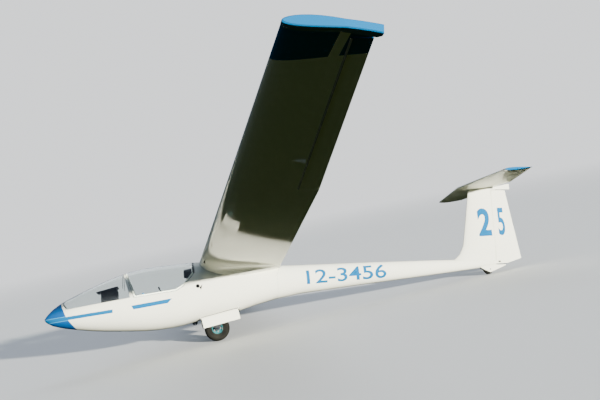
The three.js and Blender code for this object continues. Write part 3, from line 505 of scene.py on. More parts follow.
def turned(profile, spot, steps=48, closed=True):
    """Spins a profile of (radius, height) about local z."""
    shape = bmesh.new()
    line = [shape.verts.new((radius, 0, height)) for radius, height in profile]
    pairs = list(zip(line, line[1:]))
    if closed:
        pairs.append((line[-1], line[0]))
    edges = [shape.edges.new(pair) for pair in pairs]
    bmesh.ops.spin(
        shape, geom=line + edges, axis=(0, 0, 1), cent=(0, 0, 0), angle=math.tau, steps=steps, use_merge=True
    )
    shape.transform(spot)
    bmesh.ops.remove_doubles(shape, verts=shape.verts, dist=1e-6)
    bmesh.ops.recalc_face_normals(shape, faces=shape.faces)
    return shape


def add_turned(name, profile, spot, finish, steps=28, closed=False, **rest):
    return add(name, turned(profile, spot, steps, closed), finish, **rest)


def rod(shape, radius, depth, spot, sides=6, top=None):
    """A capped rod along local z with its middle at a spot. It tapers where a top radius is given."""
    return bmesh.ops.create_cone(
        shape, cap_ends=True, segments=sides, radius1=radius, radius2=top or radius, depth=depth, matrix=spot
    )["verts"]


def ribbon(path, width, thickness, closed=False):
    """A flat band along a path of (point, surface normal)."""
    shape = bmesh.new()
    count = len(path)
    bmesh.ops.create_grid(shape, x_segments=1, y_segments=count - 1, size=1)
    corners = sorted(shape.verts, key=lambda vert: (round(vert.co.y, 5), vert.co.x))
    for step, (point, normal) in enumerate(path):
        before = path[step - 1 if step or closed else 0][0]
        after = path[(step + 1) % count if step < count - 1 or closed else step][0]
        side = normal.cross(after - before).normalized() * (width / 2)
        corners[step * 2].co = point - side
        corners[step * 2 + 1].co = point + side
    if closed:
        bmesh.ops.bridge_loops(shape, edges=[shape.edges.get(corners[:2]), shape.edges.get(corners[-2:])])
    shape.normal_update()
    if shape.faces[:][0].normal.dot(path[0][1]) < 0:
        bmesh.ops.reverse_faces(shape, faces=shape.faces)
    bmesh.ops.solidify(shape, geom=shape.faces[:], thickness=thickness)
    return shape


SKINS = {}


def meet(node, start, direction):
    """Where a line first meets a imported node's skin, and the normal there."""
    if node not in SKINS:
        shape = merged(node)
        SKINS[node] = BVHTree.FromBMesh(shape)
        shape.free()
    return SKINS[node].ray_cast(Vector(start), Vector(direction).normalized())[:2]


TAB_LIFT = 0.0045
TAB_THICKNESS = 0.0048
DIGIT_LIFT = 0.0007
DIGIT_THICKNESS = 0.0005


def add_cover(name, shape, node, direction, lift, thickness, finish, body="airframe"):
    """Presses a flat shape along a direction onto a node's skin and gives it thickness."""
    for vert in shape.verts:
        start = vert.co - Vector(direction).normalized() * 2
        point, normal = meet(node, start, direction)
        if point is not None:
            vert.co = point + normal * lift
    shape.normal_update()
    turned_in = [face for face in shape.faces if face.normal.dot(Vector(direction)) > 0]
    bmesh.ops.reverse_faces(shape, faces=turned_in)
    bmesh.ops.solidify(shape, geom=shape.faces[:], thickness=thickness)
    add(name, shape, finish, body)


def add_patch(name, node, spot, radius, direction, body="airframe", sides=32, lift=0.0008, stretch=1.0):
    """A near-black round or oval disc laid on the skin: painted shade standing for the dark inside of an
    opening.
    """
    shape = bmesh.new()
    place = facing(-Vector(direction), spot) @ Matrix.Diagonal((stretch, 1, 1, 1))
    bmesh.ops.create_circle(shape, cap_ends=True, segments=sides, radius=radius, matrix=place)
    bmesh.ops.inset_region(shape, faces=shape.faces[:], thickness=radius * 0.5, use_even_offset=True)
    add_cover(name, shape, node, direction, lift, lift * 1.5, "hole", body)


def add_tab(name, node, corners, direction, finish):
    """A three-cornered cover."""
    shape = bmesh.new()
    shape.faces.new([shape.verts.new(place) for place in corners])
    bmesh.ops.subdivide_edges(shape, edges=shape.edges, cuts=5, use_grid_fill=True)
    add_cover(name, shape, node, direction, TAB_LIFT, TAB_THICKNESS, finish)


def numerals(text, width, height, bold=0.0):
    """Flat plain digits in local x and y, centred on the origin."""
    font = bpy.data.curves.new("numerals", "FONT")
    font.body = text
    font.offset = bold
    font.resolution_u = 5
    holder = bpy.data.objects.new("numerals", font)
    mesh = bpy.data.meshes.new_from_object(holder)
    shape = bmesh.new()
    shape.from_mesh(mesh)
    bpy.data.objects.remove(holder)
    bpy.data.meshes.remove(mesh)
    low = [min(vert.co[axis] for vert in shape.verts) for axis in range(2)]
    high = [max(vert.co[axis] for vert in shape.verts) for axis in range(2)]
    middle = Vector(((low[0] + high[0]) / 2, (low[1] + high[1]) / 2, 0))
    tall = height / (high[1] - low[1])
    wide = width / (high[0] - low[0]) if width else tall
    bmesh.ops.translate(shape, verts=shape.verts, vec=-middle)
    bmesh.ops.scale(shape, verts=shape.verts, vec=(wide, tall, 1))
    bmesh.ops.remove_doubles(shape, verts=shape.verts, dist=1e-5)
    return shape


def add_digits(piece, text, node, body, middle, size, bold, cuts, rise):
    """Painted digits on both sides. On the port side they read from the nose aft."""
    x, y, z = middle
    for where, side in SIDES.items():
        shape = numerals(text, *size, bold)
        for long, normal in zip(size, (Vector((1, 0, 0)), Vector((0, 1, 0)))):
            for step in range(1, cuts):
                point = normal * (long * (step / cuts - 0.5))
                geometry = shape.verts[:] + shape.edges[:] + shape.faces[:]
                bmesh.ops.bisect_plane(shape, geom=geometry, plane_co=point, plane_no=normal, dist=1e-5)
        stand = Matrix(((-side, 0, 0), (0, 0, side), (0, 1, 0))).to_4x4()
        slope = Matrix.Rotation(math.radians(-rise), 4, "Y")
        shape.transform(Matrix.Translation((x, side * y, z)) @ slope @ stand)
        add_cover(f"{piece}_{where}", shape, node, (0, -side, 0), DIGIT_LIFT, DIGIT_THICKNESS, "blue", body)


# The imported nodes, each with its finish
def towards_axis(face, height):
    """How far a face looks at the line along the pod's middle at a height: 1 is straight at it."""
    middle = face.calc_center_median()
    return face.normal.dot((Vector((middle.x, 0, height)) - middle).normalized())


def pod_side(face):
    """0 is the outer skin, 1 the cockpit's inside, 2 the wheel well's."""
    middle, normal = face.calc_center_median(), face.normal
    if 2.03 < middle.x < 2.61 and abs(middle.y) < 0.145 and middle.z < 0.152:
        inward = abs(normal.x) > 0.9 or normal.z < -0.9 or normal.y * middle.y < -0.02
        return 2 if inward and middle.z > -0.22 else 0
    cockpit = 0.185 < middle.x < 2.005
    return 1 if cockpit and (towards_axis(face, 0.2) > 0.25 or abs(normal.x) > 0.97) else 0


def brake_side(face):
    return 0 if abs(face.normal.z) > 0.8 and face.calc_center_median().z > 0.72 else 1


def frame_side(face):
    return 1 if towards_axis(face, 0.25) > 0.5 else 0


NODE_SHARP = 28
NODES = {  # each node's finishes and the width of its rounded edges
    "fuselage_pod": (("pod", "liner", "dark_grey"), 0),
    "windscreen": ("acrylic", 0),
    "canopy_glass": ("acrylic", 0),
    "canopy_frame": (("white", "grey"), 0),
    "canopy_latch": ("plastic", 0.002),
    "tail_boom": ("white", 0),
    "main_wheel_hub": ("cyan", 0.0015),
    "tail_wheel_hub": ("grey", 0.001),
    "main_axle": ("steel", 0.002),
    "tail_axle": ("steel", 0.001),
    "main_gear_frame": ("dark_grey", 0.0015),
    "tow_hook": ("dark_steel", 0.0015),
    "seat_pan": ("liner", 0.002),
    "headrest_bracket": ("grey", 0.002),
    "instrument_panel": ("black", 0),
    "glare_shield": ("vinyl", 0.002),
    "panel_pedestal": ("black", 0.006),
    "control_stick": ("dark_grey", 0.003),
    "rudder_pedals": ("aluminium", 0.002),
    "airbrake_lever": ("blue", 0.002),
}
for node in ("fin", "rudder", "tailplane", "elevator", "tailplane_fairing"):
    NODES[node] = ("tail", 0)
SORTERS = {"fuselage_pod": pod_side, "canopy_frame": frame_side}
OTHER_SLOTS = {"main_gear_frame": "grey_paint"}
for side in SIDES:
    NODES |= {
        f"wing_{side}": ("wing", 0),
        f"aileron_{side}": ("wing", 0),
        f"wing_tip_{side}": ("blue", 0.0015),
        f"aileron_fairing_{side}": ("white", 0),
        f"airbrake_{side}": (("white", "aluminium"), 0),
        f"tailplane_tip_{side}": ("blue", 0),
        f"gear_door_{side}": ("white", 0.0015),
        f"side_console_{side}": ("grey", 0.004),
    }
    SORTERS[f"airbrake_{side}"] = brake_side
    OTHER_SLOTS[f"airbrake_{side}"] = "bare_steel"


def cover_node(node):
    finishes, edge = NODES[node]
    shape = merged(node)
    shape.normal_update()
    if node in SORTERS:
        for face in shape.faces:
            face.material_index = SORTERS[node](face)
    body, slot = nodes[node]["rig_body"], OTHER_SLOTS.get(node)
    piece = add(f"{node}_skin", shape, finishes, body, slot, NODE_SHARP, node)
    if edge:
        round_off(piece, edge, NODE_SHARP)
    weigh = piece.modifiers.new("weighted_normals", "WEIGHTED_NORMAL")
    weigh.keep_sharp = True
    weigh.weight = 50


for node in NODES:
    cover_node(node)


# Wheels
MAIN_TYRE = {"radius": 0.1743, "width": 0.125, "rim": 0.0775, "grooves": (-0.030, -0.010, 0.010, 0.030)}
TAIL_TYRE = {"radius": 0.0796, "width": 0.040, "rim": 0.0405, "grooves": (-0.006, 0.006)}
GROOVE = {"width": 0.004, "depth": 0.003, "slant": 0.0006}
WALL_RING = ((0.93, 0.0), (0.90, -0.0015), (0.87, 0.0))  # share of the tyre's half width, depth
TREAD_STEPS = 28
BOLTS = (
    # name, body, how many on each side, radius of their ring, distance out, size, depth, rounded edge
    ("main_wheel_bolts", "main_wheel", 10, 0.0205, 0.0352, 0.0036, 0.006, 0),
    ("main_axle_nuts", "airframe", 1, 0, 0.0935, 0.017, 0.010, 0.0015),
)
RIM_EDGE = ((0.0695, 0.0418), (0.0710, 0.0448), (0.0740, 0.0458), (0.0760, 0.0442), (0.0764, 0.0420))
VALVE = Vector((-0.044, -0.030, 0.032))  # from the wheel's middle
VALVE_WAY = (0.1, -1.0, 0.1)
VALVE_STEM = ((0, -0.012), (0.0032, -0.012), (0.0032, 0.012), (0, 0.012))
VALVE_CAP = ((0, 0.011), (0.0046, 0.011), (0.0046, 0.021), (0.0030, 0.024), (0, 0.024))
ACROSS = Vector((0, 1, 0))


def add_tyre(node, wheel, sizes):
    """Straight grooves round the tread, and a raised ring on each wall."""
    half = sizes["width"] / 2
    shoulder = sizes["radius"] - half * 0.72
    scale = sizes["radius"] / MAIN_TYRE["radius"]
    reach = GROOVE["width"] * scale / 2
    spots = {-half * math.cos(math.pi * step / TREAD_STEPS): 0.0 for step in range(TREAD_STEPS + 1)}
    for middle in sizes["grooves"]:
        spots = {across: depth for across, depth in spots.items() if abs(across - middle) > reach}
        for side in (-1, 1):
            spots[middle + side * reach] = 0.0
            spots[middle + side * (reach - GROOVE["slant"])] = GROOVE["depth"] * scale
    for share, depth in WALL_RING:
        spots[-half * share] = depth * scale
        spots[half * share] = depth * scale
    profile = [(sizes["rim"], -half * 0.7)]
    for across, depth in sorted(spots.items()):
        swell = math.sqrt(max(1 - (across / half) ** 2, 0))
        profile.append((shoulder + (sizes["radius"] - shoulder) * swell - depth, across))
    profile.append((sizes["rim"], half * 0.7))
    shape = turned(profile, facing(ACROSS, wheel), steps=96)
    add(f"{node}_tread", shape, "rubber", nodes[node]["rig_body"], sharp=32, stands_for=node)


def add_bolts(name, body, count, ring, out, size, depth, edge):
    shape = bmesh.new()
    for side in SIDES.values():
        for step in range(count):
            angle = math.tau * (step + 0.5) / count
            place = Vector((math.cos(angle) * ring, side * out, math.sin(angle) * ring))
            rod(shape, size, depth, facing(ACROSS * side, MAIN_WHEEL + place))
    piece = add(name, shape, "steel", body)
    if edge:
        round_off(piece, edge)


def add_hub_fittings():
    """The rim's rolled edges, and the tyre's valve with a red cap."""
    for name, side in SIDES.items():
        stand = facing(ACROSS * side, MAIN_WHEEL)
        add_turned(f"main_rim_edge_{name}", RIM_EDGE, stand, "cyan", 72, True, body="main_wheel")
    outward = facing(VALVE_WAY, MAIN_WHEEL + VALVE)
    add_turned("tyre_valve", VALVE_STEM, outward, "rubber", 16, body="main_wheel")
    add_turned("tyre_valve_cap", VALVE_CAP, outward, "red", 16, body="main_wheel", slot="cyan_paint")


add_tyre("main_tyre", MAIN_WHEEL, MAIN_TYRE)
add_tyre("tail_tyre", TAIL_WHEEL, TAIL_TYRE)
for bolts in BOLTS:
    add_bolts(*bolts)
add_hub_fittings()


# Soft goods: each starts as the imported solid, is blown up like a bag and then drawn in along its seams
PAD_SHRINK = 0.004
PAD_VOXEL = 0.006
PAD_PRESSURE = 4.0
PAD_FRAMES = 20


def applied(holder):
    """The object's mesh as its modifiers leave it."""
    graph = bpy.context.evaluated_depsgraph_get()
    mesh = bpy.data.meshes.new_from_object(holder.evaluated_get(graph), depsgraph=graph)
    bpy.data.objects.remove(holder)
    return mesh


def remeshed(mesh):
    holder = new_object("pad", mesh)
    remesh = holder.modifiers.new("voxels", "REMESH")
    remesh.mode = "VOXEL"
    remesh.voxel_size = PAD_VOXEL
    return applied(holder)


def blown_up(mesh):
    """The cushion's mesh after its stuffing has swelled it."""
    holder = new_object("pad", mesh)
    stuffing = holder.modifiers.new("stuffing", "CLOTH")
    stuffing.settings.use_pressure = True
    stuffing.settings.uniform_pressure_force = PAD_PRESSURE
    stuffing.settings.effector_weights.gravity = 0
    for step in range(1, PAD_FRAMES + 1):
        scene.frame_set(step)
    swelled = applied(holder)
    scene.frame_set(1)
    return swelled


def add_pad(node, finish, cap, rests, seams):
    """cap is how far its stuffing may move a point. The pad lies flat on something in the direction of
    rests. seams gives each seam as a plane's point and normal, with its depth and half width."""
    start = merged(node)
    start.normal_update()
    for vert in start.verts:
        vert.co -= vert.normal * PAD_SHRINK
    start.transform(AIRCRAFT)
    mesh = remeshed(as_mesh(start, "pad"))
    before = [vert.co.copy() for vert in mesh.vertices]
    swelled = blown_up(mesh)
    rest_way = Vector(rests).normalized()
    down = TURN @ rest_way
    for vert, place in zip(swelled.vertices, before):
        move = vert.co - place
        if move.dot(down) > 0:
            move -= down * move.dot(down)
        if move.length > cap:
            move *= cap / move.length
        vert.co = place + move
    shape = bmesh.new()
    shape.from_mesh(swelled)
    shape.transform(TO_AIRCRAFT)
    shape.normal_update()
    for vert in shape.verts:
        depth = 0.0
        for point, normal, deep, half in seams:
            off = (vert.co - Vector(point)).dot(Vector(normal).normalized())
            depth = max(depth, deep * math.exp(-((off / half) ** 2)))
        if vert.normal.dot(rest_way) > 0.5:
            depth = 0.0
        vert.co -= vert.normal * depth
    ways = {"use_axis_x": True, "use_axis_y": True, "use_axis_z": True}
    bmesh.ops.smooth_vert(shape, verts=shape.verts, factor=0.3, **ways)
    body = nodes[node]["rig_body"]
    piece = add(f"{node}_padded", shape, finish, body, sharp=80, stands_for=node)
    soften = piece.modifiers.new("soft", "SUBSURF")
    soften.levels = 1
    soften.render_levels = 1


BACK_LINE = ((1.505, -0.123), (1.700, 0.062), (1.880, 0.267))  # x, z of the back cushion's underside
SEAT_LINE = ((1.160, -0.108), (1.290, -0.158), (1.420, -0.167))
BACK_SLOPE = (0.68, 0.0, -0.73)  # towards what the back cushion lies on
SEAT_SLOPE = (-0.12, 0.0, -0.99)
SEAM_HALF = 0.007
BACK_SEAM = 0.006
SEAT_SEAM = 0.005
PIPING = 0.004
HEADREST_EDGE = (1.906, 0, 0.511)  # where the piping crosses the headrest's side


def seams_across(line, fractions, deep):
    """Seams at right angles to a line seen from the side."""
    start, end = Vector((line[0][0], 0, line[0][1])), Vector((line[-1][0], 0, line[-1][1]))
    return [(start.lerp(end, fraction), end - start, deep, SEAM_HALF) for fraction in fractions]


def seams_along(places, deep):
    return [((0, place, 0), (0, 1, 0), deep, SEAM_HALF) for place in places]


back_seams = seams_across(BACK_LINE, (0.22, 0.45, 0.68), BACK_SEAM)
back_seams += seams_along((-0.115, 0.115), BACK_SEAM)
seat_seams = seams_across(SEAT_LINE, (0.5,), SEAT_SEAM) + seams_along((-0.105, 0.105), SEAT_SEAM)
add_pad("back_cushion", "cloth", 0.011, BACK_SLOPE, back_seams)
add_pad("seat_cushion", "cloth", 0.010, SEAT_SLOPE, seat_seams)
add_pad("headrest", "vinyl", 0.006, (1, 0, 0), [(HEADREST_EDGE, (1, 0, 0), PIPING, PIPING)])


# Harness: two shoulder straps and two lap straps that meet at a round buckle on the seat
STRAP = (0.044, 0.0022)  # width and thickness
SHOULDER_HIGH = (  # each point on the starboard side, and the way up from it
    ((1.945, 0.075, 0.362), (-0.35, 0, 1)),
    ((1.905, 0.078, 0.352), (-0.35, 0, 1)),
)
SHOULDER_LOW = (
    ((1.480, 0.062, -0.060), (-0.5, 0, 0.85)),
    ((1.425, 0.045, -0.099), (-0.15, 0, 1)),
    ((1.380, 0.022, -0.096), (0, 0, 1)),
)
LAP = (
    ((1.475, 0.228, -0.085), (0, -0.8, 0.6)),
    ((1.455, 0.180, -0.085), (0, -0.4, 1)),
    ((1.422, 0.139, -0.1005), (0, 0, 1)),
    ((1.3995, 0.1065, -0.1005), (0, 0, 1)),
    ((1.377, 0.074, -0.1005), (0, 0, 1)),
    ((1.343, 0.040, -0.096), (0, 0, 1)),
)
CUSHION_HEIGHT = 0.0575  # from the back cushion's underside to the strap on it
BUCKLE = (1.335, 0, -0.097)
BUCKLE_BODY = ((0, 0), (0.034, 0), (0.037, 0.003), (0.037, 0.012), (0.033, 0.016), (0, 0.016))
BUCKLE_KNOB = ((0, 0.0165), (0.017, 0.0165), (0.019, 0.020), (0.019, 0.025), (0.014, 0.028), (0, 0.028))


def back_top(x, y):
    """The point over the back cushion where a strap lies, and the way up from it."""
    low, high = BACK_LINE[:2] if x < BACK_LINE[1][0] else BACK_LINE[1:]
    share = (x - low[0]) / (high[0] - low[0])
    up = -Vector(BACK_SLOPE).normalized()
    return Vector((x, y, low[1] + (high[1] - low[1]) * share)) + up * CUSHION_HEIGHT, up


def on_side(points, side):
    return [((x, side * y, z), (aft, side * across, above)) for (x, y, z), (aft, across, above) in points]


def add_strap(name, points):
    path = [(Vector(point), Vector(up).normalized()) for point, up in points]
    add(name, ribbon(path, *STRAP), "webbing")


def add_harness():
    shares = [step / 8 for step in range(9)]
    for name, side in SIDES.items():
        over_back = [back_top(1.850 - 0.315 * share, side * (0.080 - 0.012 * share)) for share in shares]
        shoulder = on_side(SHOULDER_HIGH, side) + over_back + on_side(SHOULDER_LOW, side)
        add_strap(f"shoulder_strap_{name}", shoulder)
        add_strap(f"lap_strap_{name}", on_side(LAP, side))
    stand = facing((0, 0, 1), BUCKLE, upward=(1, 0, 0))
    add_turned("harness_buckle", BUCKLE_BODY, stand, "steel", 40)
    add_turned("harness_buckle_knob", BUCKLE_KNOB, stand, "red", 40)


add_harness()


# Instruments on the panel's rear face, which leans a little
PANEL_FOOT = Vector((0.962, 0, 0.070))
PANEL_TOP = Vector((0.950, 0, 0.364))
PANEL_OUT = Vector((0.9992, 0, 0.0408))
PANEL_GAP = 0.0004
DIALS = (
    # y, height up the panel, dial radius, largest number, needle's turn in degrees
    (-0.098, 0.222, 0.037, 9, 150),
    (0.000, 0.226, 0.037, 9, 35),
    (0.098, 0.222, 0.037, 5, 90),
    (-0.105, 0.135, 0.027, 9, 210),
    (0.105, 0.135, 0.027, 5, 300),
)
DIAL_MARKS = 40
BEZEL = ((1.0, 0), (1.0, 0.0050), (1.03, 0.0068), (1.13, 0.0068), (1.18, 0.0045), (1.18, 0))
DIAL_FACE = ((0, 0), (0.999, 0), (0.999, 0.0012), (0, 0.0012))
SCREW_RING = 1.30  # in dial radii, as the two profiles are
RADIO = (0.062, 0.026, 0.006)  # half width, half height, depth
RADIO_KNOB = (
    (0, 0.006), (0.0105, 0.006), (0.0105, 0.009), (0.0085, 0.010), (0.0085, 0.020), (0.007, 0.022),
    (0, 0.022),
)
SWITCH_LEAN = 0.35


def on_panel(y, height, out=0.0):
    share = height / (PANEL_TOP - PANEL_FOOT).length
    return PANEL_FOOT.lerp(PANEL_TOP, share) + Vector((0, y, 0)) + PANEL_OUT * out


def dial_angle(share):
    """The scale starts at the lower left and goes three quarters of the way round."""
    return math.radians(225 - 270 * share)


def spoke(angle, reach, height):
    return Vector((math.cos(angle) * reach, math.sin(angle) * reach, height))


def dial_marks(radius, largest, needle):
    """Scale marks, numbers and a needle, in local x and y."""
    marks = bmesh.new()
    outer = radius * 0.97
    for step in range(DIAL_MARKS + 1):
        turn = Matrix.Rotation(dial_angle(step / DIAL_MARKS) - math.pi / 2, 3, "Z")
        long = radius * (0.16 if step % 4 == 0 else 0.09)
        made = block(marks, (-0.0004, outer - long, 0.0012), (0.0004, outer, 0.0015))
        bmesh.ops.rotate(marks, verts=made, cent=(0, 0, 0), matrix=turn)
    for value in range(largest + 1):
        digit = numerals(str(value), None, radius * 0.17)
        digit.transform(Matrix.Translation(spoke(dial_angle(value / largest), radius * 0.66, 0.0014)))
        flat = as_mesh(digit, "digit")
        marks.from_mesh(flat)
        bpy.data.meshes.remove(flat)
    spot = Matrix.Translation((0, radius * 0.34, 0.0030)) @ Matrix.Rotation(-math.pi / 2, 4, "X")
    hand = rod(marks, radius * 0.055, radius * 0.85, spot, 4, radius * 0.012)
    turn = Matrix.Rotation(math.radians(-needle), 3, "Z")
    bmesh.ops.scale(marks, verts=hand, vec=(1, 1, 0.25), space=Matrix.Translation((0, 0, -0.0030)))
    bmesh.ops.rotate(marks, verts=hand, cent=(0, 0, 0), matrix=turn)
    return marks


def add_dial(number, y, height, radius, largest, needle):
    """A round instrument: bezel with four screws, black face, marks and the needle's boss."""
    stand = facing(PANEL_OUT, on_panel(y, height, PANEL_GAP))
    bezel, face = [[(share * radius, out) for share, out in line] for line in (BEZEL, DIAL_FACE)]
    add_turned(f"dial_{number}_bezel", bezel, stand, "plastic", 56, True)
    add_turned(f"dial_{number}_face", face, stand, "dial", 56)
    marks = dial_marks(radius, largest, needle)
    marks.transform(stand)
    add(f"dial_{number}_marks", marks, "ivory")
    screws = bmesh.new()
    rod(screws, radius * 0.11, 0.0024, stand @ Matrix.Translation((0, 0, 0.0042)), 20, radius * 0.09)
    for step in range(4):
        spot = Matrix.Translation(spoke(math.tau * (step + 0.5) / 4, radius * SCREW_RING, 0.0005))
        rod(screws, 0.0024, 0.0016, stand @ spot, 12, 0.0018)
    add(f"dial_{number}_screws", screws, "plastic")


def add_radio():
    """A small radio below the dials: case front, a window painted green as if lit from within, two knobs and
    a row of switches.
    """
    wide, tall, deep = RADIO
    stand = facing(PANEL_OUT, on_panel(0, 0.128, PANEL_GAP))
    front = bmesh.new()
    block(front, (-wide, -tall, 0), (wide, tall, deep))
    front.transform(stand)
    round_off(add("radio_front", front, "plastic"), 0.0015)
    # painted glow: the window is plain green paint standing for its lit display, and it gives no light
    window = bmesh.new()
    block(window, (-0.026, -0.002, deep), (0.026, 0.017, deep + 0.0008))
    window.transform(stand)
    add("radio_window", window, "green")
    for number, across in enumerate((-0.044, 0.044)):
        spot = stand @ Matrix.Translation((across, 0, 0))
        add_turned(f"radio_knob_{number}", RADIO_KNOB, spot, "dark_grey")
    switches = bmesh.new()
    for step in range(5):
        base = on_panel(-0.048 + 0.024 * step, 0.070, 0.002)
        rod(switches, 0.005, 0.004, facing(PANEL_OUT, base), 12)
        lean = PANEL_OUT + Vector((0, 0, SWITCH_LEAN if step % 2 else -SWITCH_LEAN))
        rod(switches, 0.0016, 0.014, facing(lean, base + lean.normalized() * 0.008), 10, 0.0024)
    add("panel_switches", switches, "steel")


for number, dial in enumerate(DIALS):
    add_dial(number, *dial)
add_radio()


# Hand controls
STICK_FOOT = Vector((1.045, 0, -0.195))
STICK_TOP = Vector((1.028, 0, 0.112))
BOOT_FOLDS = 12
GRIP_STEPS = 24
STICK_BUTTON = ((0, 0.005), (0.0062, 0.005), (0.0062, 0.010), (0.0045, 0.0115), (0, 0.0115))
PULL_KNOB = (
    (0, 0.0004), (0.004, 0.0004), (0.004, 0.016), (0.014, 0.018), (0.0165, 0.025), (0.014, 0.032),
    (0, 0.034),
)
BRAKE_GRIP = (
    (0, -0.030), (0.008, -0.029), (0.0125, -0.020), (0.0125, -0.004), (0.0095, 0.002), (0, 0.004)
)
TRIM_LEVER = ((0, 0), (0.004, 0), (0.004, 0.040), (0.011, 0.045), (0.012, 0.056), (0.008, 0.063), (0, 0.064))
LATCH_GRIP = ((0, 0), (0.010, 0.002), (0.0115, 0.020), (0.010, 0.040), (0, 0.043))
HANDLES = (
    # name, profile, direction, place, finish, steps, body
    ("airbrake_grip", BRAKE_GRIP, (-0.32, 0.05, 0.94), (1.299, -0.2458, 0.266), "blue", 28, "airframe"),
    ("tow_release_knob", PULL_KNOB, PANEL_OUT, on_panel(-0.140, 0.040), "yellow", 28, "airframe"),
    ("canopy_release_knob", PULL_KNOB, PANEL_OUT, on_panel(0.140, 0.040), "red", 28, "airframe"),
    ("trim_lever", TRIM_LEVER, (-0.2, 0.0, 1.0), (1.450, -0.248, 0.1685), "green", 24, "airframe"),
    ("latch_grip", LATCH_GRIP, (-0.028, 0.011, 0.060), (1.523, -0.268, 0.296), "plastic", 28, "canopy"),
)


def add_stick():
    """A folded boot at its foot, a grip with finger hollows and a button."""
    way = (STICK_TOP - STICK_FOOT).normalized()
    boot = []
    for step in range(BOOT_FOLDS + 1):
        radius = 0.040 - 0.024 * step / BOOT_FOLDS
        boot.append((radius if step % 2 else radius - 0.006, 0.010 + 0.008 * step))
    boot += [(0.0105, 0.112), (0.0105, 0.010)]
    foot = facing(way, STICK_FOOT, upward=(1, 0, 0))
    add_turned("stick_boot", boot, foot, "seal", 40, True, sharp=60)
    grip = [(0, -0.118)]
    for step in range(GRIP_STEPS + 1):
        share = step / GRIP_STEPS
        swell = 0.0022 * math.sin(share * math.pi) - 0.0016 * abs(math.sin(share * math.pi * 4))
        grip.append((0.0165 + swell, -0.116 + 0.112 * share))
    grip += [(0.013, 0.004), (0, 0.006)]
    top = facing(way, STICK_TOP, upward=(1, 0, 0))
    add_turned("stick_grip", grip, top, "plastic", 36, sharp=50)
    add_turned("stick_button", STICK_BUTTON, top, "red", 24)


add_stick()
for name, profile, way, place, finish, steps, body in HANDLES:
    add_turned(name, profile, facing(way, place), finish, steps, body=body)


# Seals, seams and small openings on the skin
FUSELAGE_AXIS = ((0.19, 0.06), (1.05, 0.17), (2.00, 0.30), (2.60, 0.33), (3.15, 0.33), (6.50, 0.41))
BANDS = (
    # name, node, place along it, angles from and to, steps, width, thickness, closed, finish, body
    ("boom_joint", "fuselage_pod", 3.1488, 0, 357, 119, 0.002, 0.0006, True, "dark_grey", "airframe"),
    ("canopy_rear_seal", "canopy_glass", 1.983, 36, 144, 60, 0.014, 0.0014, False, "seal", "canopy"),
    ("windscreen_rear_seal", "windscreen", 1.0365, 34, 146, 60, 0.006, 0.0010, False, "seal", "airframe"),
)


def axis_height(x):
    for (low, from_z), (high, to_z) in zip(FUSELAGE_AXIS, FUSELAGE_AXIS[1:]):
        if x <= high:
            return from_z + (to_z - from_z) * (x - low) / (high - low)
    return FUSELAGE_AXIS[-1][1]


def hoop(node, x, start, end, steps):
    """Points and normals round a node's skin at a station. At 0 degrees is starboard, at 90 the top."""
    path = []
    middle = Vector((x, 0, axis_height(x)))
    for step in range(steps + 1):
        angle = math.radians(start + (end - start) * step / steps)
        way = Vector((0, math.cos(angle), math.sin(angle)))
        point, normal = meet(node, middle + way, -way)
        if point is not None and (point - middle).dot(way) > 0:
            path.append((point, normal))
    return path


def add_bands():
    for name, node, x, start, end, steps, width, thickness, closed, finish, body in BANDS:
        shape = ribbon(hoop(node, x, start, end, steps), width, thickness, closed)
        add(name, shape, finish, body)


HATCH_CATCH = ((2.052, -0.4, 0.292), (2.093, -0.4, 0.330), (2.072, -0.4, 0.258))
ROOT_NOTCH = ((2.1057, -0.579, 0.6055), (2.1166, -0.869, 0.6104), (2.135, -0.490, 0.59))
VENT_RING = ((0.0105, 0.0), (0.0125, 0.0022), (0.0145, 0.0))
VENT_START = (-0.5, 0, 0.004)
OPENING_LIFT = 0.0016
INWARD = (0, 1, 0)
AFT = (1, 0, 0)


def add_openings():
    # These openings are not cut. The hatch, the root notch, the rudder slot, the static ports and the nose
    # vent are each a near-black patch of painted shade on the skin.
    add_patch("hatch_hole", "fuselage_pod", (2.030, -0.4, 0.312), 0.026, INWARD, lift=0.0024)
    add_tab("hatch_catch", "fuselage_pod", HATCH_CATCH, INWARD, "plastic")
    add_tab("root_notch", "wing_port", ROOT_NOTCH, (0.54, 0.18, 0.82), "hole")
    slot_place = (6.598, -0.3, 0.424)
    add_patch("rudder_slot", "rudder", slot_place, 0.011, INWARD, "rudder", lift=OPENING_LIFT, stretch=2.0)
    add_patch("tail_axle_cap", "tail_boom", (6.432, -0.3, 0.316), 0.009, INWARD, lift=OPENING_LIFT)
    for name, side in SIDES.items():
        place = (3.62, side * 0.5, 0.36)
        add_patch(f"static_port_{name}", "tail_boom", place, 0.0022, (0, -side, 0), sides=16)
    nose = meet("fuselage_pod", VENT_START, AFT)[0]
    stand = facing((-1, 0, 0), nose + Vector((0.0010, 0, 0)))
    add_turned("nose_vent_ring", VENT_RING, stand, "plastic", 36, True)
    add_patch("nose_vent", "fuselage_pod", VENT_START, 0.0108, AFT)


def nose_radius(node, start, way, share):
    """How far a control surface's round nose stands from its hinge line, near one place on it."""
    shape = merged(node)
    best = 0.0
    for vert in shape.verts:
        off = vert.co - start
        along = off.dot(way)
        side = off - way * along
        if abs(along - share) <= 0.02 and side.x < side.length * 0.2:
            best = max(best, side.length)
    shape.free()
    return best


SEAL_LIFT = 0.0042  # how far a gap seal stands off the turning nose: inside the gap, clear of both
SEAL_THICKNESS = 0.0008
SEAL_SPREAD = math.radians(80)  # how far it reaches round the nose, each way
SEAL_STEPS = 24
AILERON_ENDS = (4.762, 7.398)
ELEVATOR_ENDS = (0.010, 1.183)


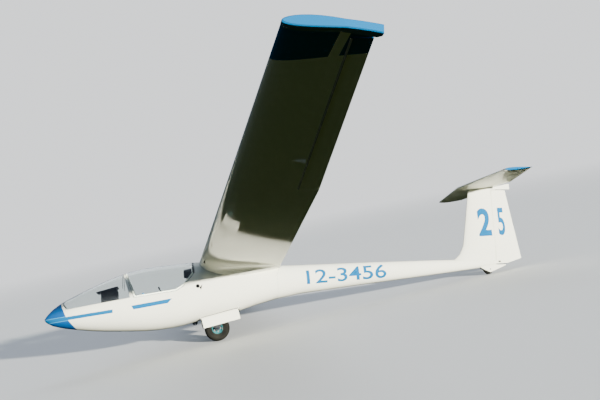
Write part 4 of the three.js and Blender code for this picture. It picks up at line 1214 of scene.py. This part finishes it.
def add_gap_seal(name, node, joint, ends):
    """A matte tape in the gap ahead of a control surface, from one end of its nose to the other."""
    axis = TURN.inverted() @ Vector(joints[joint]["axis"])
    start = TO_AIRCRAFT @ Vector(joints[joint]["pos_m"])
    first, last = [start + axis * ((value - start.y) / axis.y) for value in ends]
    way = (last - first).normalized()
    length = (last - first).length
    radii = [nose_radius(node, first, way, place) + SEAL_LIFT for place in (0.012, length - 0.012)]
    out = (Vector((-1, 0, 0)) - way * -way.x).normalized()
    shape = bmesh.new()
    corner = shape.verts.new(first + out * radii[0])
    bmesh.ops.rotate(shape, verts=[corner], cent=first, matrix=Matrix.Rotation(-SEAL_SPREAD, 3, way))
    bmesh.ops.spin(shape, geom=[corner], axis=way, cent=first, angle=2 * SEAL_SPREAD, steps=SEAL_STEPS)
    made = bmesh.ops.extrude_edge_only(shape, edges=shape.edges[:])["geom"]
    far = [item for item in made if isinstance(item, bmesh.types.BMVert)]
    grow = radii[1] / radii[0]
    bmesh.ops.scale(shape, verts=far, vec=(grow, grow, grow), space=Matrix.Translation(-first))
    bmesh.ops.translate(shape, verts=far, vec=last - first)
    bmesh.ops.solidify(shape, geom=shape.faces[:], thickness=SEAL_THICKNESS)
    bmesh.ops.recalc_face_normals(shape, faces=shape.faces)
    add(name, shape, "tape")


def add_gap_seals():
    for name, side in SIDES.items():
        ends = [side * end for end in AILERON_ENDS]
        add_gap_seal(f"aileron_seal_{name}", f"aileron_{name}", f"aileron_{name}_hinge", ends)
        ends = [side * end for end in ELEVATOR_ENDS]
        add_gap_seal(f"elevator_seal_{name}", "elevator", "elevator_hinge", ends)


DIGITS = (
    # piece, text, node, body, middle on starboard, width and height, bold, cuts, rise in degrees
    ("fin_digit", "2", "fin", "airframe", (6.4225, 0.2, 1.035), (0.215, 0.430), 0.035, 9, 0),
    ("rudder_digit", "5", "rudder", "rudder", (6.707, 0.2, 1.035), (0.118, 0.430), 0.02, 9, 0),
    ("boom_digits", "12-3456", "tail_boom", "airframe", (4.17, 0.3, 0.366), (1.20, 0.200), 0.012, 24, 1.35),
)


add_bands()
add_openings()
add_gap_seals()
for digits in DIGITS:
    add_digits(*digits)
